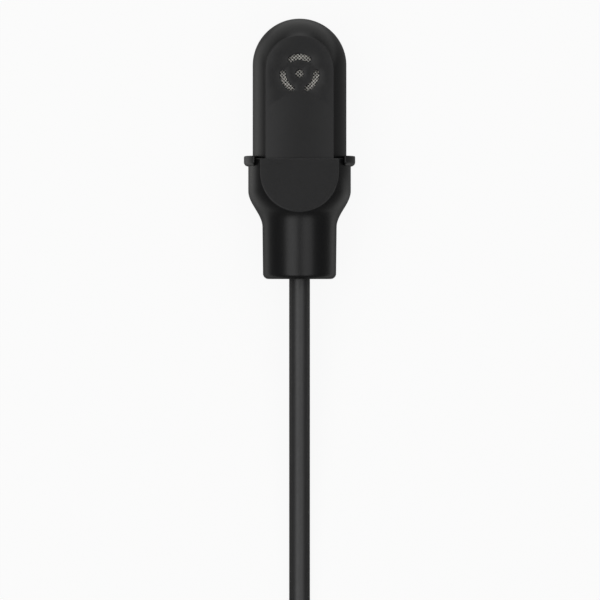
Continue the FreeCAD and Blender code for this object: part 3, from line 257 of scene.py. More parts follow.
def mesh_from(name, bm):
    """A named mesh from mesh code, which is freed."""
    mesh = bpy.data.meshes.new(name)
    bm.to_mesh(mesh)
    bm.free()
    return mesh


def mesh_piece(name, bm, finish, stands_for, body=MICROPHONE, sharp=35):
    """A named piece from mesh code, shaded smooth up to an angle, riding on its body."""
    bmesh.ops.remove_doubles(bm, verts=bm.verts, dist=WELD)
    bmesh.ops.dissolve_degenerate(bm, edges=bm.edges, dist=WELD / 2)
    bmesh.ops.recalc_face_normals(bm, faces=bm.faces)
    mesh = mesh_from(name, bm)
    mesh.shade_smooth()
    mesh.set_sharp_from_angle(angle=math.radians(sharp))
    piece = bpy.data.objects.new(name, mesh)
    return settle(piece, finish, stands_for, body)


def settle(piece, finish, stands_for, body=MICROPHONE):
    """Link a piece, give it its finish, and let it stand for its solids."""
    bpy.context.scene.collection.objects.link(piece)
    piece.data.materials.append(finish)
    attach(piece, body)
    if stands_for:
        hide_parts(*stands_for)
    return piece


def steps(start, end, count):
    """Evenly spaced values from start to end, both included."""
    return [start + (end - start) * i / count for i in range(count + 1)]


def bow(start, corner, end, count):
    """Points on the curve that leaves start and reaches end along lines through a corner."""
    return [
        tuple((1 - t) ** 2 * a + 2 * t * (1 - t) * b + t * t * c for a, b, c in zip(start, corner, end))
        for t in steps(0, 1, count)
    ]


# Finishes

NOISE_SPREAD = (0.3, 0.7)


def add_node(tree, kind, inputs=None, links=None, **settings):
    """Add a shader node, set its fields and sockets, and link outputs to its sockets."""
    node = tree.nodes.new(kind)
    for field, value in settings.items():
        setattr(node, field, value)
    for socket, value in (inputs or {}).items():
        node.inputs[socket].default_value = value
    for socket, output in (links or {}).items():
        tree.links.new(output, node.inputs[socket])
    return node


def start_finish(name, colour, **sockets):
    """A new material whose shader has these values, with the piece's own coordinates in metres."""
    material = bpy.data.materials.new(name)
    material.use_nodes = True
    material.diffuse_color = (*colour, 1)
    tree = material.node_tree
    shader = tree.nodes["Principled BSDF"]
    shader.inputs["Base Color"].default_value = (*colour, 1)
    for socket, value in sockets.items():
        shader.inputs[socket.replace("_", " ")].default_value = value
    return material, tree, shader, add_node(tree, "ShaderNodeTexCoord").outputs["Object"]


def relief(tree, shader, pattern, depth, spread, rough):
    """Raise a pattern by a depth in millimetres, and take roughness over its spread from rough."""
    bump = add_node(
        tree, "ShaderNodeBump", {"Strength": 1, "Distance": depth * MM}, {"Height": pattern})
    gloss = add_node(
        tree, "ShaderNodeMapRange",
        {"From Min": spread[0], "From Max": spread[1], "To Min": rough[0], "To Max": rough[1]},
        {"Value": pattern})
    tree.links.new(bump.outputs["Normal"], shader.inputs["Normal"])
    tree.links.new(gloss.outputs["Result"], shader.inputs["Roughness"])


def grained(name, colour, grain, depth, rough, **sockets):
    """A finish with a fine random relief, grain and depth in millimetres, and roughness to match."""
    material, tree, shader, place = start_finish(name, colour, **sockets)
    noise = add_node(
        tree, "ShaderNodeTexNoise", {"Scale": 1 / (grain * MM), "Detail": 3, "Roughness": 0.6},
        {"Vector": place})
    relief(tree, shader, noise.outputs["Fac"], depth, NOISE_SPREAD, rough)
    return material


def moulded_abs(colour):
    # ABS from a spark-eroded mould: a dull, even black whose grain breaks up the edge of a reflection
    return grained(
        "Moulded_ABS_Spark_Eroded", colour, grain=0.16, depth=0.002, rough=(0.29, 0.37), IOR=1.53,
        Specular_IOR_Level=0.36)


def woven_steel(colour):
    # Plain-woven stainless wire: bright round wires with dark gaps between them
    return grained(
        "Woven_Stainless_Wire", colour, grain=0.05, depth=0.0008, rough=(0.42, 0.56), Metallic=1.0)


def extruded_jacket(colour):
    # Soft PVC jacket as it leaves the die: satin, with a faint grain that catches a long highlight
    return grained(
        "Extruded_Soft_PVC", colour, grain=0.25, depth=0.003, rough=(0.46, 0.54), IOR=1.53,
        Specular_IOR_Level=0.9)


def moulded_rubber(name, colour):
    # Moulded rubber: blunt highlights and a little sheen at grazing angles
    return grained(
        name, colour, grain=0.2, depth=0.004, rough=(0.5, 0.62), IOR=1.5, Specular_IOR_Level=0.35,
        Sheen_Weight=0.08, Sheen_Roughness=0.5)


def woven_nylon(colour):
    # Nylon webbing: ribs of thread both ways, 0.4 mm apart, with a soft sheen
    material, tree, shader, place = start_finish(
        "Woven_Nylon_Webbing", colour, IOR=1.53, Specular_IOR_Level=0.3, Sheen_Weight=0.35,
        Sheen_Roughness=0.4)
    pitch, bands_per_unit = 0.4 * MM, 20 / math.tau
    split = add_node(tree, "ShaderNodeSeparateXYZ", links={"Vector": place})
    around = add_node(
        tree, "ShaderNodeMath", links={0: split.outputs["X"], 1: split.outputs["Z"]}, operation="ADD")
    flat = add_node(
        tree, "ShaderNodeCombineXYZ", links={"X": around.outputs["Value"], "Y": split.outputs["Y"]})
    ribs = [
        add_node(
            tree, "ShaderNodeTexWave",
            {"Scale": 1 / (bands_per_unit * pitch), "Distortion": 0.4, "Detail": 1},
            {"Vector": flat.outputs["Vector"]}, bands_direction=way).outputs["Fac"]
        for way in ("X", "Y")
    ]
    weave = add_node(tree, "ShaderNodeMath", links={0: ribs[0], 1: ribs[1]}, operation="MULTIPLY")
    relief(tree, shader, weave.outputs["Value"], 0.05, (0, 1), (0.85, 0.6))
    return material


def turned_metal(name, colour, rough):
    # Metal turned on a lathe and plated: fine rings left by the tool, drawn coarser than they are
    # so that they show
    ring_pitch = 0.12 * MM
    material, tree, shader, place = start_finish(name, colour, Metallic=1.0)
    split = add_node(tree, "ShaderNodeSeparateXYZ", links={"Vector": place})
    along = add_node(tree, "ShaderNodeCombineXYZ", links={"X": split.outputs["Y"]})
    rings = add_node(
        tree, "ShaderNodeTexNoise", {"Scale": 1 / ring_pitch, "Detail": 4},
        {"Vector": along.outputs["Vector"]})
    relief(tree, shader, rings.outputs["Fac"], 0.0012, NOISE_SPREAD, (rough * 0.75, rough * 1.25))
    return material


def lacquered_metal(colour):
    # Brass under satin black lacquer: even and dark, with a clear coat that gives soft bright lines
    return grained(
        "Satin_Black_Lacquer", colour, grain=0.12, depth=0.0015, rough=(0.32, 0.4), IOR=1.5,
        Specular_IOR_Level=0.5, Coat_Weight=0.3, Coat_Roughness=0.3)


def plain_plastic(name, colour, rough):
    # Small moulded or extruded plastic pieces: smooth, with a slight waviness in their gloss
    return grained(
        name, colour, grain=0.4, depth=0.003, rough=(rough * 0.85, rough * 1.15), IOR=1.5)


def light_path_share(tree, seen, mirrored):
    """What the camera sees, and a share that is one number there and another in gloss and glass."""
    path = add_node(tree, "ShaderNodeLightPath")
    shown = add_node(
        tree, "ShaderNodeMath",
        links={0: path.outputs["Is Glossy Ray"], 1: path.outputs["Is Transmission Ray"]},
        operation="MAXIMUM")
    direct = add_node(
        tree, "ShaderNodeMath", {1: seen}, {0: path.outputs["Is Camera Ray"]}, operation="MULTIPLY")
    share = add_node(
        tree, "ShaderNodeMath", {1: mirrored},
        {0: shown.outputs["Value"], 2: direct.outputs["Value"]}, operation="MULTIPLY_ADD")
    return path.outputs["Is Camera Ray"], share.outputs["Value"]


def floor_finish(colour):
    # Matte paper: plain and pale to the camera, with the microphone's shadow on it. What glossy pieces
    # mirror is
    #     # painted light and shade, not the paper: its colour is painted dark grey within 5 mm of the
    #     microphone's line,
    #     # right of its head and far out, as painted shadow, and pale in a band on the left, beside the
    #     tail and past
    #     # the head, as painted reflection of lit paper.
    material, tree, shader, place = start_finish("Matte_White_Paper_Painted_Reflections", colour, Roughness=0.9, IOR=1.4)
    split = add_node(tree, "ShaderNodeSeparateXYZ", links={"Vector": place})
    x, y = split.outputs["X"], split.outputs["Y"]
    aside = add_node(tree, "ShaderNodeMath", links={0: x}, operation="ABSOLUTE").outputs["Value"]
    beside, not_far, left, by_tail, past_head = (
        add_node(
            tree, "ShaderNodeMapRange", {"From Min": start * MM, "From Max": end * MM}, {"Value": way},
            interpolation_type="SMOOTHSTEP").outputs["Result"]
        for way, start, end in ((aside, 5, 8), (aside, 18, 13), (x, 2, -2), (y, -1, -6), (y, 11, 14)))
    seen, share = light_path_share(tree, seen=0.92, mirrored=0.1)
    not_right = add_node(
        tree, "ShaderNodeMath", links={0: left, 1: by_tail}, operation="MAXIMUM").outputs["Value"]
    # Painted light mask: 0 gives painted shadow in reflections, 1 gives painted reflection of lit paper;
    # camera rays always get 1.
    painted_light_mask = beside
    for operation, other in (
        ("MULTIPLY", not_far), ("MULTIPLY", not_right), ("MAXIMUM", past_head), ("MAXIMUM", seen),
    ):
        painted_light_mask = add_node(
            tree, "ShaderNodeMath", links={0: painted_light_mask, 1: other}, operation=operation).outputs["Value"]
    # Painted shadow and painted reflection: dark grey where the mask is 0, the floor's own colour where
    # it is 1.
    painted_reflection_colour = add_node(
        tree, "ShaderNodeMix", {6: (*linear("#5c5c5b"), 1), 7: (*colour, 1)}, {"Factor": painted_light_mask},
        data_type="RGBA")
    tree.links.new(painted_reflection_colour.outputs[2], shader.inputs["Base Color"])
    glow = add_node(tree, "ShaderNodeEmission", {"Color": (1, 1, 1, 1), "Strength": 1.0})
    mix = add_node(
        tree, "ShaderNodeMixShader",
        links={0: share, 1: shader.outputs["BSDF"], 2: glow.outputs["Emission"]})
    tree.links.new(mix.outputs["Shader"], tree.nodes["Material Output"].inputs["Surface"])
    return material


# Head


def drawn_in(half_depth, inset, height):
    """How far a round that draws in by inset over half_depth has drawn in at a height."""
    radius = (half_depth ** 2 + inset ** 2) / (2 * inset)
    return radius - math.sqrt(radius ** 2 - height ** 2)


def dome_outline(half, top, foot, height):
    """Straight sides and a half-round top, from the right of the foot round to its left."""
    spring = top - half
    right = [(half, y) for y in steps(foot, spring, 6)]
    arc = [(half * math.cos(a), spring + half * math.sin(a)) for a in steps(0, math.pi, 72)]
    left = [(-half, y) for y in steps(spring, foot, 6)]
    return [Vector((x, y, height)) for x, y in right + arc[1:-1] + left]


def head_rings(sizes, side):
    """Outlines of the head from the parting plane to the edge of its flat."""
    depth, edge = sizes.half_depth, sizes.edge_round
    shoulder = depth - edge
    spots = []
    for level in steps(0, 1, 14):
        height = shoulder * math.sin(level * math.pi / 2)
        spots.append((
            sizes.half_width - drawn_in(depth, sizes.side_inset, height),
            sizes.top_y - drawn_in(depth, sizes.top_inset, height),
            height,
        ))
    half, top, height = spots[-1]
    side_share, top_share = 0.35, 0.5
    corner = (half - edge * side_share, top - edge * top_share, depth)
    spots += bow(spots[-1], corner, (half - edge, top - edge, depth), 4)[1:]
    return [
        dome_outline(half, top, sizes.foot_y, sizes.axis_z + side * height)
        for half, top, height in spots
    ]


def bent_slot(grille, turn, grow, height):
    """Outline of a slot bent round the middle of the grille, with round ends."""
    inner, outer = grille.slot_inner - grow, grille.slot_outer + grow
    middle, end = (inner + outer) / 2, (outer - inner) / 2
    half = grille.slot_half_angle
    ends = steps(0, math.pi, 10)[1:-1]

    def at(radius, angle):
        return Vector((radius * math.cos(angle), radius * math.sin(angle), 0))

    points = [at(outer, turn + a) for a in steps(-half, half, 18)]
    points += [at(middle, turn + half) + at(end, turn + half + a) for a in ends]
    points += [at(inner, turn + a) for a in steps(half, -half, 18)]
    points += [at(middle, turn - half) + at(end, turn - half - math.pi + a) for a in ends]
    return [Vector((0, grille.centre_y, height)) + spot for spot in points]


def round_hole(grille, grow, height):
    """Outline of the hole in the middle of the grille."""
    radius = grille.hole_radius + grow
    return [
        Vector((radius * math.cos(a), grille.centre_y + radius * math.sin(a), height))
        for a in steps(0, math.tau, 36)[:-1]
    ]


def head_half(settings, side):
    """Half of the head as a shell; the front half has the sound openings."""
    sizes, grille = settings.head, settings.grille
    bm = bmesh.new()
    loops = [loop_of(bm, ring) for ring in head_rings(sizes, side)]
    face_z = sizes.axis_z + side * sizes.half_depth
    ceiling_z = face_z - side * sizes.wall
    cavity_top = grille.centre_y + sizes.cavity_half_width
    inside = [
        loop_of(bm, dome_outline(
            sizes.cavity_half_width, cavity_top, sizes.foot_y + sizes.foot_wall, height))
        for height in (sizes.axis_z, ceiling_z)
    ]
    for low, high in [*zip(loops, loops[1:]), inside, (loops[0], inside[0])]:
        wall(bm, low, high)
    face_holes, ceiling_holes = [], []
    if side > 0:
        openings = [partial(bent_slot, grille, math.radians(turn)) for turn in (90, 210, 330)]
        openings.append(partial(round_hole, grille))
        mouth = grille.mouth_round
        for opening in openings:
            rims = [
                loop_of(bm, opening(mouth * (1 - math.sin(a)), face_z - mouth * (1 - math.cos(a))))
                for a in steps(0, math.pi / 2, 3)
            ]
            rims.append(loop_of(bm, opening(0, ceiling_z)))
            for low, high in zip(rims, rims[1:]):
                wall(bm, low, high)
            face_holes.append(rims[0])
            ceiling_holes.append(rims[-1])
    plate(bm, [loops[-1]] + face_holes)
    plate(bm, [inside[1]] + ceiling_holes)
    return bm


class LAVALIER_OT_head(bpy.types.Operator):
    """Build the two moulded halves of the head"""

    bl_idname = "lavalier.head"
    bl_label = "Add Head"

    def execute(self, context):
        settings = context.scene.lavalier
        finish = moulded_abs(settings.finishes.housing)
        for name, side, node in (("head_front", 1, "front_housing"), ("head_back", -1, "rear_housing")):
            mesh_piece(name, head_half(settings, side), finish, [node])
        return {"FINISHED"}


# Woven wire behind the slots


def woven_wire(grille, top_z):
    """Two sets of wires at 45 degrees that pass over and under each other, cut to a disc."""
    bm = bmesh.new()
    radius, pitch = grille.wire_radius, grille.wire_pitch
    disc = grille.mesh_radius - radius
    middle = Vector((0, grille.centre_y, top_z - 2 * radius))
    up = Vector((0, 0, 1))
    sides, per_pitch = 6, 4
    count = int(disc / pitch)
    for turn, flip in ((math.pi / 4, 0), (3 * math.pi / 4, 1)):
        along = Vector((math.cos(turn), math.sin(turn), 0))
        across = Vector((-math.sin(turn), math.cos(turn), 0))
        for number in range(-count, count + 1):
            offset = number * pitch
            stations = int(math.sqrt(max(0, disc ** 2 - offset ** 2)) / pitch * per_pitch)
            if stations < 2:
                continue
            rings = []
            for k in range(-stations, stations + 1):
                way = k * pitch / per_pitch
                lift = radius * math.cos(math.pi * (way / pitch + number + flip))
                centre = middle + along * way + across * offset + up * lift
                rings.append([
                    centre + across * (radius * math.cos(a)) + up * (radius * math.sin(a))
                    for a in steps(0, math.tau, sides)[:-1]
                ])
            skin(bm, rings, closed=False)
    return bm


class LAVALIER_OT_grille(bpy.types.Operator):
    """Weave the wire mesh that shows through the sound slots"""

    bl_idname = "lavalier.grille"
    bl_label = "Add Wire Mesh"

    def execute(self, context):
        settings = context.scene.lavalier
        top_z = settings.head.axis_z + settings.head.half_depth - settings.head.wall
        mesh_piece(
            "wire_mesh", woven_wire(settings.grille, top_z), woven_steel(settings.finishes.wire_mesh),
            ["grille_mesh"], sharp=60)
        return {"FINISHED"}


# Sleeve


def eased(start_size, end_size, start, end, place):
    """A size that swings from one value to another along a cosine between two places."""
    share = min(1, max(0, (place - start) / (end - start)))
    return end_size + (start_size - end_size) * (1 + math.cos(math.pi * share)) / 2


def softly_cut(height, cut, soft):
    """A height that ends at a cut, rounded over a soft width on both sides of it."""
    overlap = max(0, soft - abs(height - cut))
    return min(height, cut) - overlap ** 2 / (4 * soft)


def quarter_angles(half_depth, power, cut, soft):
    """Angles up a quarter of the section, close together where the flat is cut."""
    start, end = (
        math.asin(min(1, max(0, (cut + side * soft) / half_depth) ** (power / 2))) for side in (-1, 1))
    return steps(0, start, 16)[:-1] + steps(start, end, 8)[:-1] + steps(end, math.pi / 2, 3)


def oval_point(half_width, half_depth, power, angle):
    """A point on an oval that is fuller than an ellipse where its power is over 2."""
    across, deep = max(0, math.cos(angle)), max(0, math.sin(angle))
    return half_width * across ** (2 / power), half_depth * deep ** (2 / power)


def all_round(quarter):
    """Four mirrored copies of a quarter's points, from the right counter-clockwise."""
    upper = quarter + [(-x, z) for x, z in reversed(quarter[:-1])]
    return upper + [(x, -z) for x, z in reversed(upper[1:-1])]


def level_ring(sizes, head, down, spots):
    """These (x, z) points of a section at a distance below the ears' top."""
    return [Vector((x, sizes.top_y - down, head.axis_z + z)) for x, z in spots]


def sleeve_section(sizes, head, down, half_width, half_depth, power=2.0, inward=0.0):
    """The sleeve's section at a distance below the ears' top: an oval cut flat front and back."""
    cut, soft = sizes.half_depth - inward, sizes.flat_round
    quarter = []
    for angle in quarter_angles(half_depth - inward, power, cut, soft):
        x, z = oval_point(half_width - inward, half_depth - inward, power, angle)
        quarter.append((x, softly_cut(z, cut, soft)))
    return level_ring(sizes, head, down, all_round(quarter))


def body_sizes(sizes, down):
    """Half width, half depth before the flats are cut, and fullness of the body's section."""
    half_width = eased(
        sizes.half_width, sizes.tail_radius, sizes.shoulder_start, sizes.shoulder_end, down)
    power = eased(sizes.squareness, 2, sizes.flat_straight, sizes.shoulder_end, down)
    past = max(0, down - sizes.flat_straight)
    if past < sizes.flat_half_width:
        share = math.sqrt(sizes.flat_half_width ** 2 - past ** 2) / half_width
        return half_width, sizes.half_depth / (1 - share ** power) ** (1 / power), power
    left = 1 - min(1, (past - sizes.flat_half_width) / sizes.run_out)
    return half_width, sizes.tail_radius + (sizes.half_depth - sizes.tail_radius) * left ** 3, power


def sleeve_rings(sizes, head):
    """Rings over the outside of the sleeve, then back up through its bores and socket."""
    section = partial(sleeve_section, sizes, head)
    mouth, lip = sizes.mouth_drop, sizes.lip_round
    rings = [
        section(mouth + lip * (1 - math.sin(a)), *body_sizes(sizes, 0), lip * (1 - math.cos(a)))
        for a in steps(math.pi / 2, 0, 5)
    ]
    straight, half = sizes.flat_straight, sizes.flat_half_width
    downs = steps(mouth + lip, straight, 6)[1:]
    downs += [straight + half * math.sin(a) for a in steps(0, math.pi / 2, 40)[1:]]
    downs += steps(straight + half, sizes.shoulder_end, 24)[1:]
    rings += [section(down, *body_sizes(sizes, down)) for down in downs]
    radius, end = sizes.tail_radius - sizes.tail_draft, sizes.length
    for a in steps(0, math.pi / 2, 8):
        drawn = radius - sizes.tail_round * (1 - math.cos(a))
        rings.append(section(end - sizes.tail_round * (1 - math.sin(a)), drawn, drawn))
    bevel, bush_length, seal = 0.12 * MM, 3.2 * MM, 0.3 * MM
    seat = sizes.top_y - head.foot_y + seal
    bore, chamber = sizes.tail_bore, sizes.chamber_radius
    rings += [
        section(down, radius, radius) for radius, down in (
            (bore + bevel, end), (bore, end - bevel), (bore, end - bush_length),
            (chamber, end - bush_length), (chamber, seat))
    ]
    return rings + [socket_section(sizes, head, down) for down in (seat, mouth)]


def socket_wall(sizes, head, z):
    """How far out the socket's wall is at a height above the middle line."""
    return head.half_width - drawn_in(head.half_depth, head.side_inset, z) + sizes.socket_clearance


def socket_section(sizes, head, down):
    """The head's own section, wider by the clearance, with as many points as the sleeve's."""
    depth = head.half_depth
    quarter = [
        (socket_wall(sizes, head, z), z * (1 + sizes.socket_clearance / depth))
        for z in steps(0, depth, 20)
    ]
    corner_x, flat_z = quarter[-1]
    quarter += [(x, flat_z) for x in steps(corner_x, 0, 7)[1:]]
    return level_ring(sizes, head, down, all_round(quarter))


def ear_outline(sizes, head, down, inward, side):
    """An ear's section: a wider oval outside, the socket's wall inside, and blunt ends."""
    power, soft, inner = sizes.squareness, 2 * sizes.flat_round, sizes.ear_inner_half
    width = sizes.ear_half_width - inward
    share = (inner / sizes.ear_half_width) ** power
    depth = sizes.half_depth / (1 - share) ** (1 / power) - inward
    last = math.acos(((inner + soft) / width) ** (power / 2))
    half = [oval_point(width, depth, power, a) for a in steps(0, last, 16)]
    top_z = half[-1][1]
    half += bow(half[-1], (inner, top_z + 0.5 * soft), (inner, top_z - soft), 5)[1:]
    inset = 0.02 * MM
    inside = [(socket_wall(sizes, head, z) + inset, z) for z in steps(head.half_depth, 0, 24)]
    inside = [spot for spot in inside if spot[0] >= inner]
    half += [(inner, inside[0][1])] + inside
    whole = half + [(x, -z) for x, z in reversed(half[1:-1])]
    return level_ring(sizes, head, down, [(side * x, z) for x, z in whole])


def add_ear(bm, sizes, head, side):
    """One ear, rounded toward the head and more toward the tail."""
    lip, foot = sizes.lip_round, sizes.ear_round
    places = [(lip * (1 - math.sin(a)), lip * (1 - math.cos(a))) for a in steps(math.pi / 2, 0, 4)]
    places += [
        (sizes.ear_height - foot * (1 - math.sin(a)), foot * (1 - math.cos(a)))
        for a in steps(0, math.pi / 2, 8)
    ]
    skin(bm, [ear_outline(sizes, head, *place, side) for place in places], closed=False)


class LAVALIER_OT_sleeve(bpy.types.Operator):
    """Build the sleeve with its ears, flats, shoulders and round tail"""

    bl_idname = "lavalier.sleeve"
    bl_label = "Add Sleeve"

    def execute(self, context):
        settings = context.scene.lavalier
        bm = bmesh.new()
        skin(bm, sleeve_rings(settings.sleeve, settings.head))
        for side in (1, -1):
            add_ear(bm, settings.sleeve, settings.head, side)
        finish = bpy.data.materials["Moulded_ABS_Spark_Eroded"]
        mesh_piece("sleeve_body", bm, finish, ["sleeve"])
        return {"FINISHED"}


# Cable


def control_line(name, points, radius, finish, stands_for):
    """A round cable along one open smooth line with these control points."""
    curve = bpy.data.curves.new(name, "CURVE")
    curve.dimensions = "3D"
    curve.bevel_depth = radius
    curve.bevel_resolution = 5
    curve.resolution_u = 8
    curve.use_fill_caps = True
    spline = curve.splines.new("NURBS")
    spline.points.add(len(points) - 1)
    for spot, place in zip(spline.points, points):
        spot.co = (*place, 1)
    spline.order_u = 3
    spline.use_endpoint_u = True
    return settle(bpy.data.objects.new(name, curve), finish, stands_for)


def fold_points(centre, radius, way, start_side, lean):
    """Four control points round a fold, where its tangents meet."""
    sweep = (math.pi + 2 * lean) / 4
    reach = radius / math.cos(sweep / 2)
    angles = [-lean + sweep * (i + 0.5) for i in range(4)]
    return [
        centre + Vector((start_side * reach * math.cos(a), way * reach * math.sin(a), 0)) for a in angles
    ], radius * math.tan(sweep / 2)


def hank_points(sizes):
    """Control points of the hank's loops, from its near left side to its near right.

    Each layer spirals in or out with a narrower or wider fold each half turn. Every run is drawn
    in at the waist, and the last run of a layer climbs to the next one past the waist.
    """
    half_run = sizes.run / 2
    middle_y = sizes.near_y - half_run
    climb_start, climb_end = 0.15, 0.4
    side, way = -1, -1
    x = -sizes.outer_fold
    waist = Vector((x + sizes.waist_draw, middle_y, sizes.lowest_z))
    points = [waist]
    for turn in range(sizes.layers * sizes.folds_per_layer - 1):
        layer, place = divmod(turn, sizes.folds_per_layer)
        z = sizes.lowest_z + layer * sizes.layer_step
        step = sizes.fold_step * place
        radius = sizes.inner_fold + step if layer % 2 else sizes.outer_fold - step
        next_x = x - side * 2 * radius
        next_waist = Vector((next_x + side * sizes.waist_draw, middle_y, z))
        centre = Vector(((x + next_x) / 2, middle_y + way * half_run, z))
        aside = abs(waist.x - centre.x)
        lean = math.asin(radius / math.hypot(aside, half_run)) - math.atan2(aside, half_run)
        fold, arm = fold_points(centre, radius, way, side, lean)
        run = (fold[0] - waist).xy.to_3d()
        if z > waist.z:
            rise = Vector((0, 0, z - waist.z))
            points += [waist + run * climb_start, waist + run * climb_end + rise]
        away = (next_waist - fold[-1]).normalized()
        points += [fold[0] - run.normalized() * 2 * arm, *fold, fold[-1] + away * 2 * arm, next_waist]
        x, side, way, waist = next_x, -side, -way, next_waist
    return points


def cable_points(settings):
    """Control points of the whole cable: free stretch, hank, and the way back into the plug."""
    sizes = settings.cord
    axis_z, plug_z = settings.head.axis_z / MM, settings.plug.axis_z / MM
    ground, lowest = sizes.diameter / 2 / MM, sizes.lowest_z / MM
    hank = hank_points(sizes)
    low = hank[-1].z / MM
    rise = plug_z - low
    lead = [
        (0, -4.1, axis_z), (0, -14.5, axis_z), (0, -29.7, ground), (0, -40.3, ground),
        (-10.7, -45.7, lowest),
    ]
    tail = [
        (10.5, -48.6, low), (7.9, -44.6, low + 0.293 * rise), (3.0, -44.3, low + 0.707 * rise),
        (0, -48.2, plug_z), (0, -65.43, plug_z),
    ]
    return [Vector(spot) * MM for spot in lead] + hank + [Vector(spot) * MM for spot in tail]


class LAVALIER_OT_cable(bpy.types.Operator):
    """Lay the cable from the tail of the microphone, through its hank and into the plug"""

    bl_idname = "lavalier.cable"
    bl_label = "Add Cable"

    def execute(self, context):
        settings = context.scene.lavalier
        sizes = settings.cord
        finish = extruded_jacket(settings.finishes.jacket)
        cable = control_line(
            "cable", cable_points(settings), sizes.diameter / 2, finish,
            ["cord_lead", "cord_hank", "cord_tail"])
        return {"FINISHED"}


# Strap round the hank


def strap_path(sizes, inset):
    """The closed strap's line, at a distance inside its outside, as (x, z, outward angle)."""
    half = sizes.strap_half_reach - inset
    low, high = inset, sizes.strap_top_z - inset
    corner = sizes.strap_corner - inset
    path = []
    for x_sign, z_sign, start in ((1, 1, 0), (-1, 1, 90), (-1, -1, 180), (1, -1, 270)):
        centre_x = x_sign * (half - corner)
        centre_z = high - corner if z_sign > 0 else low + corner
        for turn in steps(math.radians(start), math.radians(start + 90), 8):
            path.append((centre_x + corner * math.cos(turn), centre_z + corner * math.sin(turn), turn))
    return path


def strap_ring(spot, middle_y, half_width, half_thick):
    """The strap's own section at a place on its line, with rounded edges."""
    x, z, outward = spot
    ring = []
    for side, start in ((1, -90), (-1, 90)):
        for a in steps(math.radians(start), math.radians(start + 180), 6):
            out = half_thick * math.sin(a)
            along = side * (half_width - half_thick) + half_thick * math.cos(a)
            ring.append(Vector((
                x + out * math.cos(outward), middle_y + along, z + out * math.sin(outward))))
    return ring


class LAVALIER_OT_strap(bpy.types.Operator):
    """Close a woven strap round the waist of the hank, with its end pressed down on the side"""

    bl_idname = "lavalier.strap"
    bl_label = "Add Strap"

    def execute(self, context):
        settings = context.scene.lavalier
        sizes = settings.cord
        half_thick, half_width = sizes.strap_thickness / 2, sizes.strap_width / 2
        middle_y = sizes.near_y - sizes.run / 2
        bm = bmesh.new()
        skin(bm, [
            strap_ring(spot, middle_y, half_width, half_thick) for spot in strap_path(sizes, half_thick)
        ])
        end_half, end_top, end_run, taper, blunt = 0.22 * MM, 0.86, 0.66, 0.22, 0.02
        rings = []
        for place in steps(0, 1, 24):
            spot = (sizes.strap_half_reach + end_half, sizes.strap_top_z * (end_top - end_run * place), 0)
            past = max(0, place - 1 + taper) / taper
            narrow = half_width * math.sqrt(max(blunt, 1 - past ** 2))
            rings.append(strap_ring(spot, middle_y, max(narrow, 2 * end_half), end_half))
        skin(bm, rings, closed=False)
        finish = woven_nylon(settings.finishes.strap)
        mesh_piece("hank_strap", bm, finish, ["hank_tie"], sharp=50)
        return {"FINISHED"}


# Plug


def softened(profile, amount):
    """A closed profile of (radius, place) in millimetres, in metres, its corners off the axis rounded."""
    profile = [(radius * MM, place * MM) for radius, place in profile]
    most, made = 0.45, []
    for i, spot in enumerate(profile):
        if spot[0] < WELD:
            made.append(spot)
            continue
        ends = []
        for other in (profile[i - 1], profile[(i + 1) % len(profile)]):
            reach = math.dist(spot, other)
            share = min(amount * MM, most * reach) / reach
            ends.append(tuple(a + (b - a) * share for a, b in zip(spot, other)))
        made += bow(ends[0], spot, ends[1], 3)
    return made


def divided(profile, longest):
    """A closed profile with points added so that no step is longer than this."""
    made = []
    for spot, after in zip(profile, profile[1:] + profile[:1]):
        count = max(1, math.ceil(math.dist(spot, after) / longest))
        made += [
            tuple(a + (b - a) * share for a, b in zip(spot, after)) for share in steps(0, 1, count)[:-1]
        ]
    return made


def turned_form(plug, profile, segments, cut=None):
    """A profile of (radius, place) turned round the plug's line; cut limits radius by place and angle."""
    bm = bmesh.new()
    rings = []
    for radius, place in profile:
        ring = []
        for angle in steps(0, math.tau, segments)[:-1]:
            reach = cut(radius, place, angle) if cut else radius
            ring.append(Vector((
                reach * math.cos(angle), plug.start_y - place, plug.axis_z + reach * math.sin(angle))))
        rings.append(ring)
    skin(bm, rings)
    return bm


def turned_piece(name, plug, profile, soft, finish, node, segments=96):
    """A named piece turned round the plug's line, its corners softened, standing for a node."""
    mesh_piece(name, turned_form(plug, softened(profile, soft), segments), finish, [node])


class LAVALIER_OT_cable_boot(bpy.types.Operator):
    """Build the stepped rubber boot that keeps the cable from kinking at the plug"""

    bl_idname = "lavalier.cable_boot"
    bl_label = "Add Cable Boot"

    def execute(self, context):
        bore, step, groove = 0.82, 2.8, 0.35
        profile = [(bore, 0)]
        for index, radius in enumerate((1.5, 2.2, 2.9)):
            start = index * step
            profile += [
                (radius - 0.16, start), (radius, start + 0.5), (radius, start + 2.35),
                (radius - groove, start + 2.5), (radius - groove, start + step)]
        profile += [(2.4, 8.4), (2.4, 9.73), (3.0, 9.73), (3.0, 10.53), (bore, 10.53)]
        finish = moulded_rubber("Moulded_Black_TPE", linear("#1b1b1c"))
        turned_piece(
            "strain_relief", context.scene.lavalier.plug, profile, 0.1, finish,
            "cable_boot", 72)
        return {"FINISHED"}


class LAVALIER_OT_back_shell(bpy.types.Operator):
    """Build the plug's lacquered back shell with two turned rings"""

    bl_idname = "lavalier.back_shell"
    bl_label = "Add Back Shell"

    def execute(self, context):
        settings = context.scene.lavalier
        radius = settings.plug.shell_radius / MM
        inside, bottom, floor, bore, groove = radius - 0.8, 8.4, 9.7, 2.43, 0.14
        profile = [(bore, bottom), (inside, bottom), (radius, bottom + 0.8)]
        for place in (17.2, 18.4):
            profile += [
                (radius, place), (radius - groove, place + 0.1), (radius - groove, place + 0.35),
                (radius, place + 0.45)]
        profile += [(radius, 20.4), (inside, 20.4), (inside, floor), (bore, floor)]
        finish = lacquered_metal(settings.finishes.lacquer)
        turned_piece("plug_shell", settings.plug, profile, 0.12, finish, "back_shell")
        return {"FINISHED"}


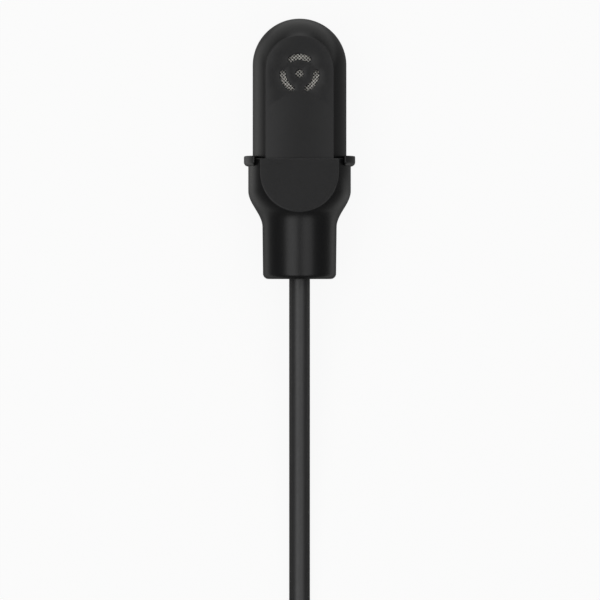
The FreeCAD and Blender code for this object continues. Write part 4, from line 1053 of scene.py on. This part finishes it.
class LAVALIER_OT_locking_collar(bpy.types.Operator):
    """Build the collar that screws the plug fast: grip grooves, fine ribs and thread"""

    bl_idname = "lavalier.locking_collar"
    bl_label = "Add Locking Collar"

    def execute(self, context):
        plug = context.scene.lavalier.plug
        outer, nose = plug.collar_radius, plug.nose_radius
        grip_end, slack = 25.5 * MM, 0.001 * MM
        rib_height, ribs_per_groove = 0.03 * MM, 9
        thread_reach, thread_depth = 0.35 * MM, 0.25 * MM

        def cut(radius, place, angle):
            if place <= grip_end + slack:
                pitch = math.tau / plug.grip_count
                off = (angle - math.pi / 2 + pitch / 2) % pitch - pitch / 2
                groove = max(0, plug.grip_depth - abs(off) * outer)
                ribs = rib_height * (1 - math.cos(off * plug.grip_count * ribs_per_groove)) / 2
                return min(radius, outer - max(groove, ribs))
            if radius > nose - thread_reach:
                wave = (1 + math.cos(math.tau * place / plug.thread_pitch - angle)) / 2
                return min(radius, nose - thread_depth * wave)
            return radius

        wide, narrow, bore, recess = outer / MM, nose / MM, 2.01, 2.42
        profile = softened([
            (bore, 20.5), (wide - 0.2, 20.5), (wide, 20.7), (wide, 25.3), (wide - 0.2, 25.5),
            (narrow, 25.5), (narrow, 27.85), (narrow - 0.15, 28.0), (recess, 28.0), (recess, 26.5),
            (bore, 26.5)], 0.06)
        form = turned_form(plug, divided(profile, plug.thread_pitch / 8), 240, cut)
        finish = bpy.data.materials["Satin_Black_Lacquer"]
        mesh_piece("collar_grip", form, finish, ["locking_collar"], COLLAR, 40)
        return {"FINISHED"}


class LAVALIER_OT_contacts(bpy.types.Operator):
    """Build the plug's barrel and tip, plated, and the insulator between them"""

    bl_idname = "lavalier.contacts"
    bl_label = "Add Contacts"

    def execute(self, context):
        settings = context.scene.lavalier
        radius = settings.plug.plug_radius / MM
        ball, waist, bore, rod = radius * 0.98, radius * 0.72, 1.12, 0.65
        plating = turned_metal("Nickel_Plated_Brass", settings.finishes.plated, 0.16)
        moulded = plain_plastic("Moulded_Black_Nylon", linear("#1c1c1d"), 0.35)
        barrel = [
            (bore, 18.4), (3.42, 18.4), (3.42, 20.4), (1.95, 20.4), (1.95, 27.0), (radius, 27.0),
            (radius, 38.0), (bore, 38.0)]
        washer = [
            (0.67, 17.2), (1.1, 17.2), (1.1, 38.0), (radius, 38.0), (radius, 38.6), (0.67, 38.6)]
        tip = [(0.0, 16.0), (rod, 16.0), (rod, 38.6), (waist, 38.6)]
        for start, corner, end, count in (
            ((waist, 38.6), (ball, 39.3), (ball, 39.95), 6),
            ((ball, 39.95), (ball, 40.4), (radius * 0.86, 40.7), 6),
            ((radius * 0.86, 40.7), (radius * 0.3, 42.0), (0.0, 42.0), 10),
        ):
            tip += bow(start, corner, end, count)[1:]
        for name, profile, soft, finish, slot, node in (
            ("contact_barrel", barrel, 0.06, plating, "nickel", "plug_sleeve"),
            ("contact_insulator", washer, 0.05, moulded, "black_plastic", "plug_insulator"),
            ("contact_tip", tip, 0.02, plating, "nickel", "plug_tip"),
        ):
            turned_piece(name, settings.plug, profile, soft, finish, node)
        return {"FINISHED"}


# What is inside


class LAVALIER_OT_inside(bpy.types.Operator):
    """Give the solids inside the head, sleeve and plug their finishes, and run the thin wires"""

    bl_idname = "lavalier.inside"
    bl_label = "Finish Inside"

    def execute(self, context):
        settings = context.scene.lavalier
        nickel = bpy.data.materials["Nickel_Plated_Brass"]
        brass = turned_metal("Turned_Brass", linear("#c9a65a"), 0.28)
        silicone = moulded_rubber("Moulded_Silicone", linear("#2c2c2e"))
        natural = plain_plastic("Moulded_Natural_PBT", linear("#e6e2d6"), 0.45)
        for finish, nodes in (
            (moulded_rubber("Open_Cell_Foam", linear("#29292a")), ("mesh_gasket",)),
            (plain_plastic("Woven_Polyester_Membrane", linear("#202022"), 0.7), ("membrane",)),
            (silicone, ("capsule_boot", "socket_seal")),
            (bpy.data.materials["Moulded_Black_TPE"], ("cable_bush",)),
            (turned_metal("Drawn_Aluminium", linear("#d9dadb"), 0.3), ("capsule_can",)),
            (brass, ("diaphragm", "backplate", "contact_ring", "crimp_ferrule")),
            (natural, ("spacer_ring", "backplate_holder", "insulating_liner")),
            (plain_plastic("Green_Solder_Mask", linear("#1d6b3a"), 0.3), ("capsule_board",)),
            (bpy.data.materials["Moulded_Black_Nylon"], ("transistor",)),
            (turned_metal("Tin_Solder", linear("#c8c9cb"), 0.22), ("solder_terminals",)),
            (nickel, ("cable_clamp", "collar_clip")),
        ):
            for node in nodes:
                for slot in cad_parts[node].material_slots:
                    slot.material = finish

        axis_z, plug_z = settings.head.axis_z / MM, settings.plug.axis_z / MM
        red = plain_plastic("Extruded_Red_PVC", linear("#8e1f1c"), 0.4)
        black = plain_plastic("Extruded_Black_PVC", linear("#1a1a1b"), 0.4)

        def capsule_route(side):
            away, close, board_y, low = side * 0.6, side * 0.35, 5.75, 1.85
            return [
                (away, board_y, 3.0), (away, board_y, low), (away, 2.35, low), (close, -1.7, axis_z),
                (close, -4.1, axis_z)]

        wire_z, lug_z = plug_z - 0.35, plug_z + 0.175
        plug_route = [(0, -65.43, wire_z), (0, -65.93, wire_z), (0, -67.5, lug_z), (0, -68.0, lug_z)]
        for name, node, route, finish, slot in (
            ("capsule_wire_red", "signal_wire", capsule_route(-1), red, "red_wire"),
            ("capsule_wire_black", "ground_wire", capsule_route(1), black, "black_wire"),
            ("plug_wire", "connector_wire", plug_route, red, "red_wire"),
        ):
            points = [Vector(spot) * MM for spot in route]
            control_line(name, points, 0.2 * MM, finish, [node])
        return {"FINISHED"}


# Stage

FLOOR_HALF = 3.0


class LAVALIER_OT_stage(bpy.types.Operator):
    """Set up the pale floor, the softboxes, the even room light and the camera"""

    bl_idname = "lavalier.stage"
    bl_label = "Set Up Stage"

    def execute(self, context):
        scene = context.scene
        stage = scene.lavalier.stage
        target = Vector((stage.view_x, stage.view_y, scene.lavalier.head.axis_z))

        camera = bpy.data.cameras.new("camera")
        camera.sensor_width = 36.0
        camera.lens = camera.sensor_width * stage.camera_height / stage.view_width
        camera.clip_start = 0.01
        camera.clip_end = 20.0
        scene.camera = bpy.data.objects.new("camera", camera)
        scene.camera.location = target + Vector((0, 0, stage.camera_height))
        scene.collection.objects.link(scene.camera)

        bm = bmesh.new()
        bmesh.ops.create_grid(bm, x_segments=8, y_segments=8, size=FLOOR_HALF)
        mesh = mesh_from("floor", bm)
        mesh.materials.append(floor_finish(stage.floor))
        floor = bpy.data.objects.new("floor", mesh)
        scene.collection.objects.link(floor)

        for name, power, way, sides in (
            ("left_softbox", stage.key_power, (-0.415, 0, 0.91), (0.9, 0.315)),
            ("right_softbox", stage.fill_power, (0.4, 0, 0.917), (0.9, 0.295)),
            ("back_softbox", stage.back_power, (0, 0.92, 0.39), (0.3, 0.325)),
        ):
            lamp = bpy.data.lights.new(name, "AREA")
            lamp.shape = "RECTANGLE"
            lamp.size, lamp.size_y = sides
            lamp.energy = power
            box = bpy.data.objects.new(name, lamp)
            box.visible_camera = False
            box.location = Vector((0, stage.view_y, 0)) + stage.lamp_reach * Vector(way)
            box.rotation_euler = (target - box.location).to_track_quat("-Z", "Y").to_euler()
            scene.collection.objects.link(box)

        world = bpy.data.worlds.new("room")
        world.use_nodes = True
        tree = world.node_tree
        background = tree.nodes["Background"]
        background.inputs["Color"].default_value = (1, 1, 1, 1)
        share = light_path_share(tree, seen=0.86, mirrored=0.02)[1]
        strength = add_node(tree, "ShaderNodeMath", {1: stage.room_light}, {0: share}, operation="ADD")
        tree.links.new(strength.outputs["Value"], background.inputs["Strength"])
        scene.world = world
        scene.view_settings.view_transform = "Standard"
        return {"FINISHED"}


class LAVALIER_PT_sidebar(bpy.types.Panel):
    """Sizes, finishes and pieces of the microphone"""

    bl_label = "Lavalier Microphone"
    bl_space_type = "VIEW_3D"
    bl_region_type = "UI"
    bl_category = "Microphone"

    def draw(self, context):
        layout = self.layout
        for title in LavalierSettings.__annotations__:
            group = getattr(context.scene.lavalier, title)
            box = layout.box()
            box.label(text=title.capitalize())
            for field in group.__annotations__:
                box.prop(group, field)
        for operator in OPERATORS:
            layout.operator(operator.bl_idname)


GROUPS = (
    HeadSizes, GrilleSizes, SleeveSizes, CordSizes, PlugSizes, Finishes, StageSettings,
    LavalierSettings,
)
OPERATORS = (
    LAVALIER_OT_stage, LAVALIER_OT_head, LAVALIER_OT_grille, LAVALIER_OT_sleeve, LAVALIER_OT_strap,
    LAVALIER_OT_cable_boot, LAVALIER_OT_back_shell, LAVALIER_OT_locking_collar, LAVALIER_OT_contacts,
    LAVALIER_OT_inside, LAVALIER_OT_cable,
)
CLASSES = GROUPS + OPERATORS + (LAVALIER_PT_sidebar,)


def register():
    for item in CLASSES:
        bpy.utils.register_class(item)
    bpy.types.Scene.lavalier = PointerProperty(type=LavalierSettings)


def unregister():
    del bpy.types.Scene.lavalier
    for item in reversed(CLASSES):
        bpy.utils.unregister_class(item)


def main():
    """Build the stage, then each piece in order."""
    register()
    bpy.ops.lavalier.stage()
    bpy.ops.lavalier.head()
    bpy.ops.lavalier.grille()
    bpy.ops.lavalier.sleeve()
    bpy.ops.lavalier.strap()
    bpy.ops.lavalier.cable_boot()
    bpy.ops.lavalier.back_shell()
    bpy.ops.lavalier.locking_collar()
    bpy.ops.lavalier.contacts()
    bpy.ops.lavalier.inside()
    bpy.ops.lavalier.cable()


if __name__ == "__main__":
    main()
